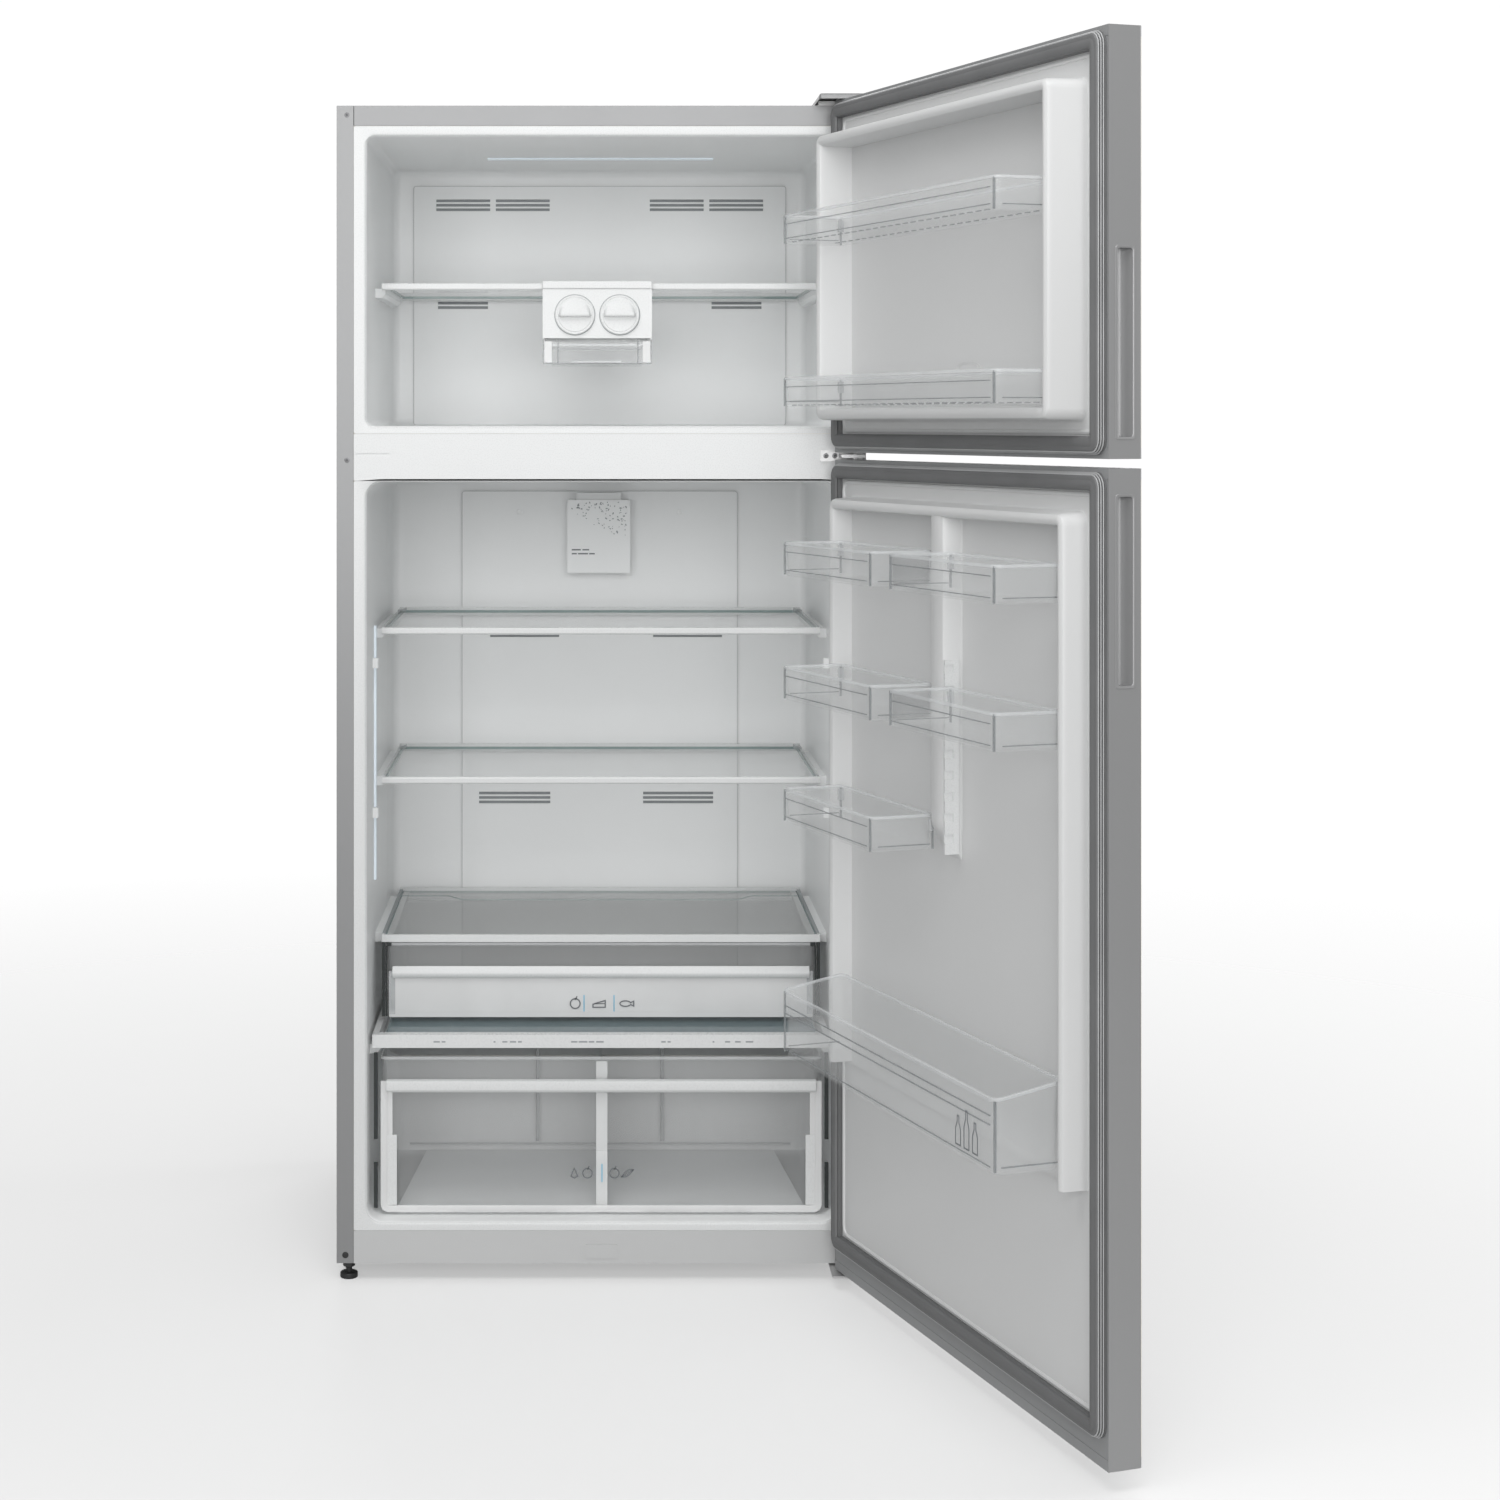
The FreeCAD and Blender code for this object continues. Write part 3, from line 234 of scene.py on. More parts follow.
# The door skins take the lighter steel: painted light.
for door_name in DOOR_SIZES:
    repaint(f"{door_name}_skin", LIT_DOOR_STEEL)


# ---------------------------------------------------------------- shape tools

def rectangle(x, z, radius=0.0, steps=6):
    """A closed path round a rectangle, with rounded corners, in order right round."""
    (left, right), (low, high) = x, z
    if radius <= 0:
        return [(left, low), (right, low), (right, high), (left, high)]
    path = []
    centres = ((right - radius, low + radius, -90), (right - radius, high - radius, 0),
               (left + radius, high - radius, 90), (left + radius, low + radius, 180))
    for middle_x, middle_z, start in centres:
        for step in range(steps + 1):
            angle = math.radians(start + 90 * step / steps)
            path.append((middle_x + radius * math.cos(angle), middle_z + radius * math.sin(angle)))
    return path


def circle(middle, radius, steps=40):
    """A closed path round a circle."""
    return [(middle[0] + radius * math.cos(2 * math.pi * step / steps),
             middle[1] + radius * math.sin(2 * math.pi * step / steps)) for step in range(steps)]


def turned(middle, rings, steps=24):
    """Loops round an axis that runs front to back, from pairs of radius and depth."""
    return [[(a, y, b) for a, b in circle(middle, radius, steps)] for radius, y in rings]


class Piece:
    """One object: faces gathered in millimetres in a layout, each with its finish."""

    def __init__(self, name, body, layout, slot, finish=None):
        self.name, self.body, self.layout, self.slot = name, body, layout, slot
        self.finish = finish or LOOKS[slot]
        self.mesh = bmesh.new()
        self.finishes = []

    def finish_index(self, finish):
        """The material index of a finish, which is the piece's own if none is given."""
        finish = finish or self.finish
        if finish not in self.finishes:
            self.finishes.append(finish)
        return self.finishes.index(finish)

    def loft(self, loops, finish=None, ends=True, ring=False):
        """Skin through loops of equal length; ends closes the first and last, ring joins them."""
        index = self.finish_index(finish)
        rows = [[self.mesh.verts.new(point) for point in loop] for loop in loops]
        count = len(rows[0])
        pairs = list(zip(rows, rows[1:])) + ([(rows[-1], rows[0])] if ring else [])
        for lower, upper in pairs:
            for step in range(count):
                after = (step + 1) % count
                face = self.mesh.faces.new((lower[step], lower[after], upper[after], upper[step]))
                face.material_index = index
        if ends and not ring:
            for row in (rows[0][::-1], rows[-1]):
                self.mesh.faces.new(row).material_index = index

    def face(self, loop, finish=None):
        """One flat face round a loop."""
        made = self.mesh.faces.new([self.mesh.verts.new(point) for point in loop])
        made.material_index = self.finish_index(finish)

    def bar(self, x, y, z, finish=None):
        """A straight bar between limits on each axis."""
        self.loft([[(a, b, level) for a, b in rectangle(x, y)] for level in z], finish)

    def sweep(self, path, profile, finish=None, closed=True, upright=True):
        """Carry a profile of (outward, raised) along a path, which lies in XZ if upright and else in XY."""
        count = len(path)
        loops = []
        for step, (a, b) in enumerate(path):
            before = path[step - 1] if closed or step else path[step]
            after = path[(step + 1) % count] if closed or step < count - 1 else path[step]
            arriving = Vector((a - before[0], b - before[1]))
            leaving = Vector((after[0] - a, after[1] - b))
            into = (arriving if arriving.length else leaving).normalized()
            out = (leaving if leaving.length else arriving).normalized()
            along = (into + out).normalized()
            reach = 1 / max(0.5, along.dot(into))
            across = Vector((along.y, -along.x)) * reach
            loop = [(a + across.x * outward, b + across.y * outward, raised) for outward, raised in profile]
            loops.append([(u, w, v) if upright else (u, v, w) for u, v, w in loop])
        self.loft(loops, finish, ends=not closed, ring=closed)

    def stroke(self, path, width, y, finish, closed=False):
        """A thin printed line on a face that looks towards -Y."""
        half, raised = width / 2, y - PRINT_RELIEF
        self.sweep(path, [(-half, y), (half, y), (half, raised), (-half, raised)], finish, closed)

    def done(self, *replaced, bevel=0.0, sharp=35):
        """Turn the faces into an object that rides on its body."""
        bmesh.ops.recalc_face_normals(self.mesh, faces=self.mesh.faces)
        bmesh.ops.scale(self.mesh, vec=(0.001, 0.001, 0.001), verts=self.mesh.verts)
        for face in self.mesh.faces:
            face.smooth = True
        for edge in self.mesh.edges:
            edge.smooth = len(edge.link_faces) == 2 and edge.calc_face_angle() < math.radians(sharp)
        data = bpy.data.meshes.new(self.name)
        self.mesh.to_mesh(data)
        self.mesh.free()
        for finish in self.finishes:
            data.materials.append(finish)
        made = bpy.data.objects.new(self.name, data)
        bpy.context.scene.collection.objects.link(made)
        made.matrix_world = self.layout
        if bevel:
            soften(made, bevel)
        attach(made, self.body)
        if replaced:
            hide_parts(*replaced)
        return made


def soften(thing, width):
    """Small rounded edges, in millimetres."""
    rounding = thing.modifiers.new("rounding", "BEVEL")
    rounding.width = width / 1000
    rounding.segments = 2
    rounding.limit_method = "ANGLE"
    rounding.angle_limit = math.radians(40)
    rounding.harden_normals = True


# How far the edges of the CAD nodes are rounded, in millimetres.
SOFTENED = {
    "outer_shell": 0.4, "mullion_cover": 0.8, "plinth": 0.8, "freezer_back_panel": 0.8,
    "fridge_duct_panel": 1.0, "filter_cover": 1.0, "freezer_shelf_trim": 1.2, "fridge_shelf_trim": 1.2,
    "lower_shelf_frame": 0.8, "crisper_cover_frame": 1.2, "ice_maker_frame": 0.8, "hinge_cover": 0.8,
    "top_hinge": 0.8, "middle_hinge": 0.8, "bottom_hinge": 0.8, "light_strips": 0.8,
    "freezer_door_end_caps": 0.6, "fridge_door_end_caps": 0.6, "height_rack": 0.6, "crisper_divider": 0.4,
    "foot_left": 0.8, "foot_right": 0.8, "rear_rollers": 1.2, "machine_cover": 0.3, "rear_panel": 0.4,
    "power_inlet": 0.8, "compressor": 2.0, "drip_tray": 0.6,
}
for node, width in SOFTENED.items():
    soften(frame["nodes"][node], width)


# ---------------------------------------------------------------- room liners

def room(name, span, rear, mouth, flange, steps, ledges):
    """A moulded tub: a flat rim, a soft mouth, straight walls, rounded rear corners and shelf ledges."""
    piece = Piece(f"{name}_tub", "cabinet", CABINET, "white_liner")
    floor_height, roof_height = span

    def loop(y, inset=0.0, base=floor_height, corner=mouth):
        sides = (-ROOM_HALF + inset, ROOM_HALF - inset)
        return [(x, y, z) for x, z in rectangle(sides, (base + inset, roof_height - inset), corner)]

    rim = rectangle((-FLANGE_HALF, FLANGE_HALF), flange, 3)
    loops = [[(x, 2, z) for x, z in rim], [(x, 0, z) for x, z in rim], loop(0, -5, corner=mouth + 5),
             loop(0.5, -2.8, corner=mouth + 3), loop(2, -1.2), loop(5, -0.3), loop(9)]
    last = floor_height
    for at, base in steps:
        loops += [loop(at - 8, 0, last), loop(at - 2.4, 0.4, last + 2), loop(at, 0.6, last + 8),
                  loop(at, 0.6, base - 8), loop(at + 2.4, 0.4, base - 2), loop(at + 8, 0, base)]
        last = base
    inner = mouth / 2
    loops += [loop(rear - 14, 0, last), loop(rear - 6, 2, last), loop(rear - 1.5, 7, last, inner + 2),
              loop(rear - 0.2, 14, last, inner)]
    # The liner's front lip takes the darker trim white: painted shade on the same moulding.
    piece.loft(loops[:5], LOOKS["white_trim"], ends=False)
    piece.loft(loops[4:], ends=False)
    piece.face(loops[-1])
    bmesh.ops.remove_doubles(piece.mesh, verts=piece.mesh.verts, dist=0.001)
    for side in SIDES:
        for level, (start, end) in ledges:
            ledge(piece, side, level, start, end)
    return piece


def ledge(piece, side, level, start, end):
    """A moulded rest on a side wall, between two depths."""
    wall, face = ROOM_HALF + 0.5, 353
    path = [(wall, start), (face + 3, start + 5), (face, start + 12), (face, end - 12), (wall, end)]
    under = [(side * (x + 5 if x < 360 else x), y, level - 15) for x, y in path]
    bottom = [(side * x, y, level - 9) for x, y in path]
    top = [(side * x, y, level) for x, y in path]
    piece.loft([under, bottom, top])


def liners():
    """Both rooms, with small clips under the front ends of the two upper shelves."""
    freezer = room("freezer", FREEZER_ROOM, FREEZER_REAR, 12, (1344, 1832), [],
                   [(FREEZER_SHELF - 5.4, LEDGE_SPAN)])
    freezer.done("freezer_liner")
    ledges = [(top - 5.4, LEDGE_SPAN) for top in (UPPER_SHELF, MIDDLE_SHELF, LOWER_SHELF)]
    ledges.append((COVER_LEDGE, COVER_LEDGE_SPAN))
    fridge = room("fridge", FRIDGE_ROOM, FRIDGE_REAR, 24, (80, 1269), [(STEP_DEPTH, STEP_HEIGHT)], ledges)
    clip = ((372.5, 112), (364, 114), (362, 120), (364, 126), (372.5, 128))
    for side in SIDES:
        for top in (UPPER_SHELF, MIDDLE_SHELF):
            fridge.loft([[(side * x, y, z) for x, y in clip] for z in (top - 66, top - 50)])
    fridge.done("fridge_liner")


# ---------------------------------------------------------------- doors

def dyke_profile(height):
    """A rounded wall that stands up from the liner by the height, with a softly flared foot."""
    half = DYKE_WIDTH / 2
    rise = [(-half - 6, -14.6), (-half - 2.5, -13), (-half - 1, -9), (-half, height - 8),
            (-half + 2, height - 2.5), (-half + 6, height)]
    return rise + [(-outward, raised) for outward, raised in reversed(rise)]


def door_liner(name, walls):
    """The white inner face: a grey backing, a plate, a bead round it and the door's own walls."""
    low, high = DOOR_SIZES[name]["span"]
    seal_low, seal_high = DOOR_SIZES[name]["seal"]
    # The door's face takes the darker copy of the liner white: painted shade.
    piece = Piece(f"{name}_panel", name, DOOR, "white_liner", SHADED_DOOR_WHITE)
    backing = rectangle((-417.8, 417.8), (low + 14, high - 14), 4)
    piece.loft([[(x, y, z) for x, z in backing] for y in (-16, -14.6)], LOOKS["grey_plastic"])
    plate = rectangle((-404, 404), (seal_low - 14, seal_high + 14), 4)
    piece.loft([[(x, y, z) for x, z in plate] for y in (-15, -14)])
    bead = [(-3.5, -14.5), (-2.4, -12.4), (0, -11.6), (2.4, -12.4), (3.5, -14.5)]
    piece.sweep(rectangle((-385, 385), (seal_low + 5, seal_high - 5), 14), bead)
    walls(piece)
    piece.done(f"{name}_liner")


def freezer_walls(piece):
    """A closed dyke round a flat field, with a plain oval moulded in the field."""
    field = rectangle((-FIELD_HALF, FIELD_HALF), (1374, 1793), 4)
    piece.loft([[(x, y, z) for x, z in field] for y in FIELD_LAYERS])
    piece.sweep(rectangle((-DYKE_HALF, DYKE_HALF), (1374, 1797), 7, 4), dyke_profile(45))
    for radius in (22, 17):
        oval = []
        for step in range(40):
            angle = step / 20 * math.pi
            oval.append((-42 + 1.7 * radius * math.cos(angle), 1438 + 0.42 * radius * math.sin(angle)))
        piece.sweep(oval, [(-0.7, -10.3), (-0.4, -9.5), (0.4, -9.5), (0.7, -10.3)])


def fridge_walls(piece):
    """A dyke that is open at its foot, a flat field and a broad rib between the bins."""
    bend, top = 9, 1236
    corner = [(DYKE_HALF - bend + bend * math.cos(math.radians(angle)),
               top - bend + bend * math.sin(math.radians(angle))) for angle in range(0, 91, 15)]
    right = [(DYKE_HALF, 372), (DYKE_HALF, 392)] + corner
    path = right + [(-x, z) for x, z in reversed(right)]
    piece.sweep(path, dyke_profile(23), closed=False)
    field = rectangle((-FIELD_HALF, FIELD_HALF), (368, 1232), 4)
    piece.loft([[(x, y, z) for x, z in field] for y in FIELD_LAYERS])
    rise = [(-26, -11), (-22.5, -8), (-21, 12), (-18, 17.5), (-12, 20)]
    section = rise + [(-x, y) for x, y in reversed(rise)]
    loops = []
    for z, share in ((742, 0.02), (752, 0.2), (775, 0.72), (788, 0.95), (796, 1), (1232, 1)):
        loops.append([(x, -11 + (y + 11) * share, z) for x, y in section])
    piece.loft(loops)


def gasket(name):
    """A bellows seal: folds and ridges up its outer side, with painted highlights on the ridges, and a flat
    magnet face.
    """
    low, high = DOOR_SIZES[name]["seal"]
    piece = Piece(f"{name}_seal", name, DOOR, "seal_rubber")
    folds = [(-12, -14.2), (-12, -8), (-10, -6.6), (-11.5, -4.6), (-10, -2), (-7, -0.5), (-1, -0.5),
             (1.5, -1.6), (4, -1.4), (6.5, -2.2), (8.5, -4.4), (6.2, -5.6), (9.8, -7), (7.2, -8.4),
             (11, -10), (8.4, -11.4), (12, -13), (12, -14.2)]
    path = rectangle((-402, 402), (low - 12, high + 12), 9, 4)
    piece.sweep(path, folds)
    # The ridges are in a lighter rubber: painted highlights.
    for outward, raised in ((8.9, -4.2), (10.2, -7.2), (11.4, -10.2)):
        ridge = [(outward - 1.6, raised - 0.5), (outward, raised - 0.7), (outward + 0.6, raised),
                 (outward, raised + 0.7), (outward - 1.6, raised + 0.5)]
        piece.sweep(path, ridge, PAINTED_SEAL_HIGHLIGHT)
    piece.done(f"{name}_gasket", sharp=28)


def tub(piece, x, y, z, wall, corner, draft=0.0, slope=0.0):
    """An open box lofted from its outside floor, up over a lipped rim and down to its inside floor."""
    lip = 1.4

    def loop(inset, height, radius, lean=0.0):
        points = rectangle((x[0] + inset, x[1] - inset), (y[0] + inset, y[1] - inset), max(1.5, radius), 5)
        depth = y[1] - y[0]
        return [(a, b, height - lean * slope * (b - y[0]) / depth) for a, b in points]

    low, high = z
    under, shoulder = loop(draft + 3, low, corner - 3), loop(0, high - 5, corner, 1)
    throat = loop(wall, high - 3, corner - wall, 1)
    inside = loop(draft + wall + 4, low + 2.4, corner - 4)
    piece.loft([under, loop(draft + 0.6, low + 0.9, corner - 1), loop(draft, low + 3.5, corner), shoulder],
               ends=False)
    # The lipped rim takes the paler, more opaque clear: painted sheen.
    piece.loft([shoulder, loop(-lip, high - 4, corner + lip, 1), loop(-lip, high - 0.5, corner + lip, 1),
                loop(0, high, corner, 1), loop(wall, high, corner - wall, 1), throat], SHEEN_CLEAR_RIM, ends=False)
    piece.loft([throat, loop(draft + wall, low + 5, corner - wall),
                loop(draft + wall + 1, low + 3, corner - wall - 1), inside], ends=False)
    piece.face(under)
    piece.face(inside)
    bmesh.ops.remove_doubles(piece.mesh, verts=piece.mesh.verts, dist=0.0005)


def door_bin(piece, x, low, height, perforated=False):
    """A clear door bin with hooks at its ends, corner ribs and a moulded band round its front."""
    high = low + height
    tub(piece, x, BIN_DEPTH, (low, high), BIN_WALL, 12, draft=1.5)
    front = BIN_DEPTH[1] + 0.2
    band = (front - 0.4, front + 0.7)
    # The bands, ribs and drain slots are in the dark grey clear: painted shade.
    for level in (high - 15, low + 9):
        piece.bar((x[0] + 12, x[1] - 12), band, (level - 0.7, level + 0.7), SHADED_CLEAR_EDGE)
    upright = (low + 2, high - 2)
    for side, edge in ((1, x[0]), (-1, x[1])):
        piece.bar((edge + side * 4, edge + side * 6.4), (front - 3.4, front - 0.6), upright, SHADED_CLEAR_EDGE)
        piece.bar(sorted((edge + side * 0.2, edge + side * 1.6)), (14, 96), (low + 8, low + 9.4), SHADED_CLEAR_EDGE)
        piece.bar(sorted((edge - side * 0.4, edge + side * 1.2)), (9, 12), upright, SHADED_CLEAR_EDGE)
        hook = sorted((edge - side * 1.2, edge + side * 3.2))
        piece.bar(hook, (6.5, 15), (high - 24, high - 6), SHEEN_CLEAR_RIM)
    if perforated:
        pitch, slot = 24, 13
        for step in range(int((x[1] - x[0] - 40) / pitch)):
            start = x[0] + pitch + step * pitch
            for depth in ((101.5, 104), (30, 32)):
                piece.bar((start, start + slot), depth, (low + 2.2, low + 3.6), SHADED_CLEAR_EDGE)


def freezer_bins():
    """Two full-width bins with drain slots in their floors."""
    piece = Piece("freezer_bins", "freezer_door", DOOR, "clear_plastic")
    for low in (1385, 1634):
        door_bin(piece, BIN_WHOLE, low, FREEZER_BIN_HEIGHT, perforated=True)
    piece.done("freezer_door_bins")


def fridge_bins():
    """Half-width bins, of which one sits on its own height rack."""
    fixed = Piece("fridge_bins", "fridge_door", DOOR, "clear_plastic")
    for x, low in ((BIN_HINGE, 1127), (BIN_FREE, 1127), (BIN_HINGE, 937), (BIN_HINGE, 750)):
        door_bin(fixed, x, low, FRIDGE_BIN_HEIGHT)
    fixed.done("fixed_bins")
    moving = Piece("height_bin", "adjustable_bin", DOOR, "clear_plastic")
    door_bin(moving, BIN_FREE, 937, FRIDGE_BIN_HEIGHT)
    moving.done("adjustable_bin")


def bottle_rack():
    """The deep low bin, with three bottle outlines printed on its front."""
    piece = Piece("bottle_rack", "fridge_door", DOOR, "clear_plastic")
    tub(piece, BIN_WHOLE, BIN_DEPTH, (393, 511), BIN_WALL, 14, draft=3, slope=18)
    for height in (470, 458, 404):
        piece.bar((-332, 332), (107.6, 109), (height - 0.8, height + 0.8), SHADED_CLEAR_EDGE)
    for side in SIDES:
        piece.bar((side * 340 - 1.3, side * 340 + 1.3), (104, 107), (398, 490), SHADED_CLEAR_EDGE)
        piece.bar(sorted((side * 342.6, side * 344.2)), (12, 98), (404, 405.6), SHADED_CLEAR_EDGE)
    base, body, neck = 410, 7, 2.4
    for middle, tall in ((-292, 40), (-268, 50), (-244, 38)):
        shoulder, throat = base + tall * 0.55, base + tall * 0.78
        outline = [(middle - body, base), (middle + body, base), (middle + body, shoulder),
                   (middle + neck, throat), (middle + neck, base + tall), (middle - neck, base + tall),
                   (middle - neck, throat), (middle - body, shoulder)]
        piece.stroke(outline, 2.0, 109.2, PRINT_GREY, closed=True)
    piece.done("bottle_bin")


def grip(name):
    """A finger pocket let into the door's free edge, with a raised border."""
    low = DOOR_SIZES[name]["grip"]
    high = low + GRIP_LENGTH
    # The pocket and its border are in the lighter door steel: painted light.
    pocket = Piece(f"{name}_pocket", name, DOOR, "grey_plastic", LIT_DOOR_STEEL)
    section = [(GRIP_FACE, -25.2), (GRIP_FACE, -27.2), (-404, -27.6), (-402, -29), (-401.4, -32),
               (-401.8, -38), (-404, -41.5), (-410, -45.6), (GRIP_FACE, -49), (GRIP_FACE, -50.8),
               (-399.2, -50.8), (-399.2, -25.2)]
    pocket.loft([[(x, y, z) for x, y in section] for z in (low - GRIP_RIM, high + GRIP_RIM)])
    for z in ((low - GRIP_RIM, low), (high, high + GRIP_RIM)):
        pocket.bar((GRIP_FACE, -401), (-49, -27), z)
    pocket.done(f"{name}_grip")
    border = Piece(f"{name}_grip_frame", name, DOOR, "casing_steel", LIT_DOOR_STEEL)
    loops = []
    for inset, x in ((0, -419), (0.5, -419.8), (2.6, -419.8), (3.4, -419.2), (3.6, -418)):
        outline = rectangle((-52.4 + inset, -23.6 - inset), (low - 3.4 + inset, high + 3.4 - inset), 4)
        loops.append([(x, y, z) for y, z in outline])
    border.loft(loops, ends=False)
    border.done()


def doors():
    """The inner faces, seals, bins and grips of both doors."""
    door_liner("freezer_door", freezer_walls)
    door_liner("fridge_door", fridge_walls)
    for name in DOOR_SIZES:
        gasket(name)
    freezer_bins()
    fridge_bins()
    bottle_rack()
    for name in DOOR_SIZES:
        grip(name)


# ---------------------------------------------------------------- drawers

def pictogram(piece, kind, x, z, size, y):
    """A small generic food outline."""
    half = size / 2
    if kind == "round":
        piece.stroke(circle((x, z), half * 0.8, 18), 2.0, y, PRINT_GREY, closed=True)
        piece.stroke([(x, z + half * 0.6), (x + half * 0.3, z + half * 1.2)], 2.0, y, PRINT_GREY)
    elif kind == "fish":
        angles = [math.radians(degrees) for degrees in range(20, 341, 20)]
        body = [(x + half * 0.9 * math.cos(angle), z + half * 0.45 * math.sin(angle)) for angle in angles]
        tail = [(x + half * 1.35, z - half * 0.4), (x + half * 1.35, z + half * 0.4)]
        piece.stroke(body + tail, 2.0, y, PRINT_GREY, closed=True)
    elif kind == "leaf":
        def edge(step, side):
            share = (step - 5) / 5
            return (x + share * half,
                    z + share * half * 0.6 + side * math.sin(math.pi * step / 10) * half * 0.45)

        upper = [edge(step, 1) for step in range(11)]
        lower = [edge(step, -1) for step in range(9, 0, -1)]
        piece.stroke(upper + lower, 2.0, y, PRINT_GREY, closed=True)
        piece.stroke([upper[0], (x, z), upper[-1]], 1.4, y, PRINT_GREY)
    elif kind == "wedge":
        piece.stroke([(x - half, z - half * 0.6), (x + half, z - half * 0.6), (x + half, z + half * 0.5),
                      (x - half, z - half * 0.1)], 2.0, y, PRINT_GREY, closed=True)
        piece.stroke([(x - half * 0.6, z), (x + half * 0.9, z)], 1.4, y, PRINT_GREY)
    else:
        pear = [(x - half * 0.55, z - half * 0.5), (x, z - half * 0.8), (x + half * 0.55, z - half * 0.5),
                (x + half * 0.25, z + half * 0.3), (x, z + half * 0.8), (x - half * 0.25, z + half * 0.3)]
        piece.stroke(pear, 2.0, y, PRINT_GREY, closed=True)


def chiller():
    """The shallow drawer, with a frosted front, a rounded white handle and printed outlines."""
    piece = Piece("chiller_box", "chiller", CABINET, "clear_plastic")
    tub(piece, (-350, 350), (CHILLER_FRONT, 515), (387, 512), 3, 8, draft=6)
    handle = [(8, -1), (0, -8.5), (-3, -9), (-8, -7.5), (-11, -4), (-11, 1), (8, 1)]
    loops = [[(x, CHILLER_FRONT + raised, 466 + out) for out, raised in handle] for x in (-340, 340)]
    piece.loft(loops, LOOKS["white_trim"])
    piece.bar((-346, 346), (119.6, 121.6), (391, 400), FROSTED)
    piece.bar((-336, 336), (120, 121.4), (400, 459), FROSTED)
    for side in SIDES:
        piece.bar(sorted((side * 336, side * 346)), (118.8, 121.4), (396, 466), SHEEN_CLEAR_RIM)
        # Dark bars beside the chiller's front: painted shade in the gaps.
        piece.bar(sorted((side * 349.4, side * 351.5)), (122, 128), (392, 506), GAP_SHADE_AND_JOINT)
    for kind, x in (("round", -42), ("wedge", -3), ("fish", 40)):
        pictogram(piece, kind, x, 413, 20, CHILLER_PRINT)
    for x in (-27.6, 21.4):
        piece.stroke([(x, 400), (x, 427)], 1.8, CHILLER_PRINT, PRINT_BLUE)
    piece.done("chiller_drawer")


def crisper():
    """The deep drawer, with a white handle, a frosted surround, rear ribs and printed outlines."""
    piece = Piece("crisper_box", "crisper", CABINET, "clear_plastic")
    tub(piece, (-353, 353), (38, 388), (98, 346), 3, 10, draft=7)
    mat = [(-326, 60), (326, 60), (300, 372), (-300, 372)]
    piece.loft([[(x, y, z) for x, y in mat] for z in (101.2, 102.6)], LOOKS["white_liner"])
    handle = [(10, 1), (10, -3), (8, -7), (2, -8), (-6, -7.5), (-10, -4), (-10, 1)]
    piece.loft([[(x, CRISPER_FRONT + raised, 301 + out) for out, raised in handle] for x in (-343, 343)],
               LOOKS["white_trim"])
    right = [(341, 104), (345, 106), (347, 110), (347, 308)]
    surround = [(-x, z) for x, z in reversed(right)] + right
    edge = [(-5, 38), (-5, 35), (-3, 34), (5, 34), (6, 35), (6, 38)]
    piece.sweep(surround, edge, FROSTED, closed=False)
    for side in SIDES:
        piece.bar(sorted((side * 334, side * 342)), (35.5, 38), (108, 290), FROSTED)
        piece.bar(sorted((side * 327, side * 342)), (34.8, 37.5), (110, 222), LOOKS["white_trim"])
    for x in (-108, 108):
        piece.bar((x - 2.6, x + 2.6), (380, 381.6), (116, 300), SHEEN_CLEAR_RIM)
        piece.bar((x - 3.4, x - 2.6), (379.6, 381), (116, 300), SHADED_CLEAR_EDGE)
    piece.bar((-330, 330), (379.6, 381), (110, 113), SHEEN_CLEAR_RIM)
    for start in (-240, 70):
        piece.bar((start, start + 170), (34.8, 36.4), (99.6, 101.4), SHADED_CLEAR_EDGE)
    for kind, x in (("pear", -43), ("round", -22), ("round", 21), ("leaf", 42)):
        pictogram(piece, kind, x, 161, 19, CRISPER_PRINT)
    piece.stroke([(1.2, 147), (1.2, 176)], 2.0, CRISPER_PRINT, PRINT_BLUE)
    piece.done("crisper_drawer")


def drawer_gap_shade():
    """Painted shade: dark bars in the slots between the drawers and the side walls."""
    piece = Piece("drawer_gap_shade", "cabinet", CABINET, "black_plastic")
    for side in SIDES:
        for z in ((104, 176), (214, 352)):
            piece.bar(sorted((side * 358, side * 364)), (38, 44), z, GAP_SHADE_AND_JOINT)
        piece.bar(sorted((side * 352.2, side * 357.8)), (120.6, 121.9), (392, 517), GAP_SHADE_AND_JOINT)
    piece.done()


# ---------------------------------------------------------------- ice maker

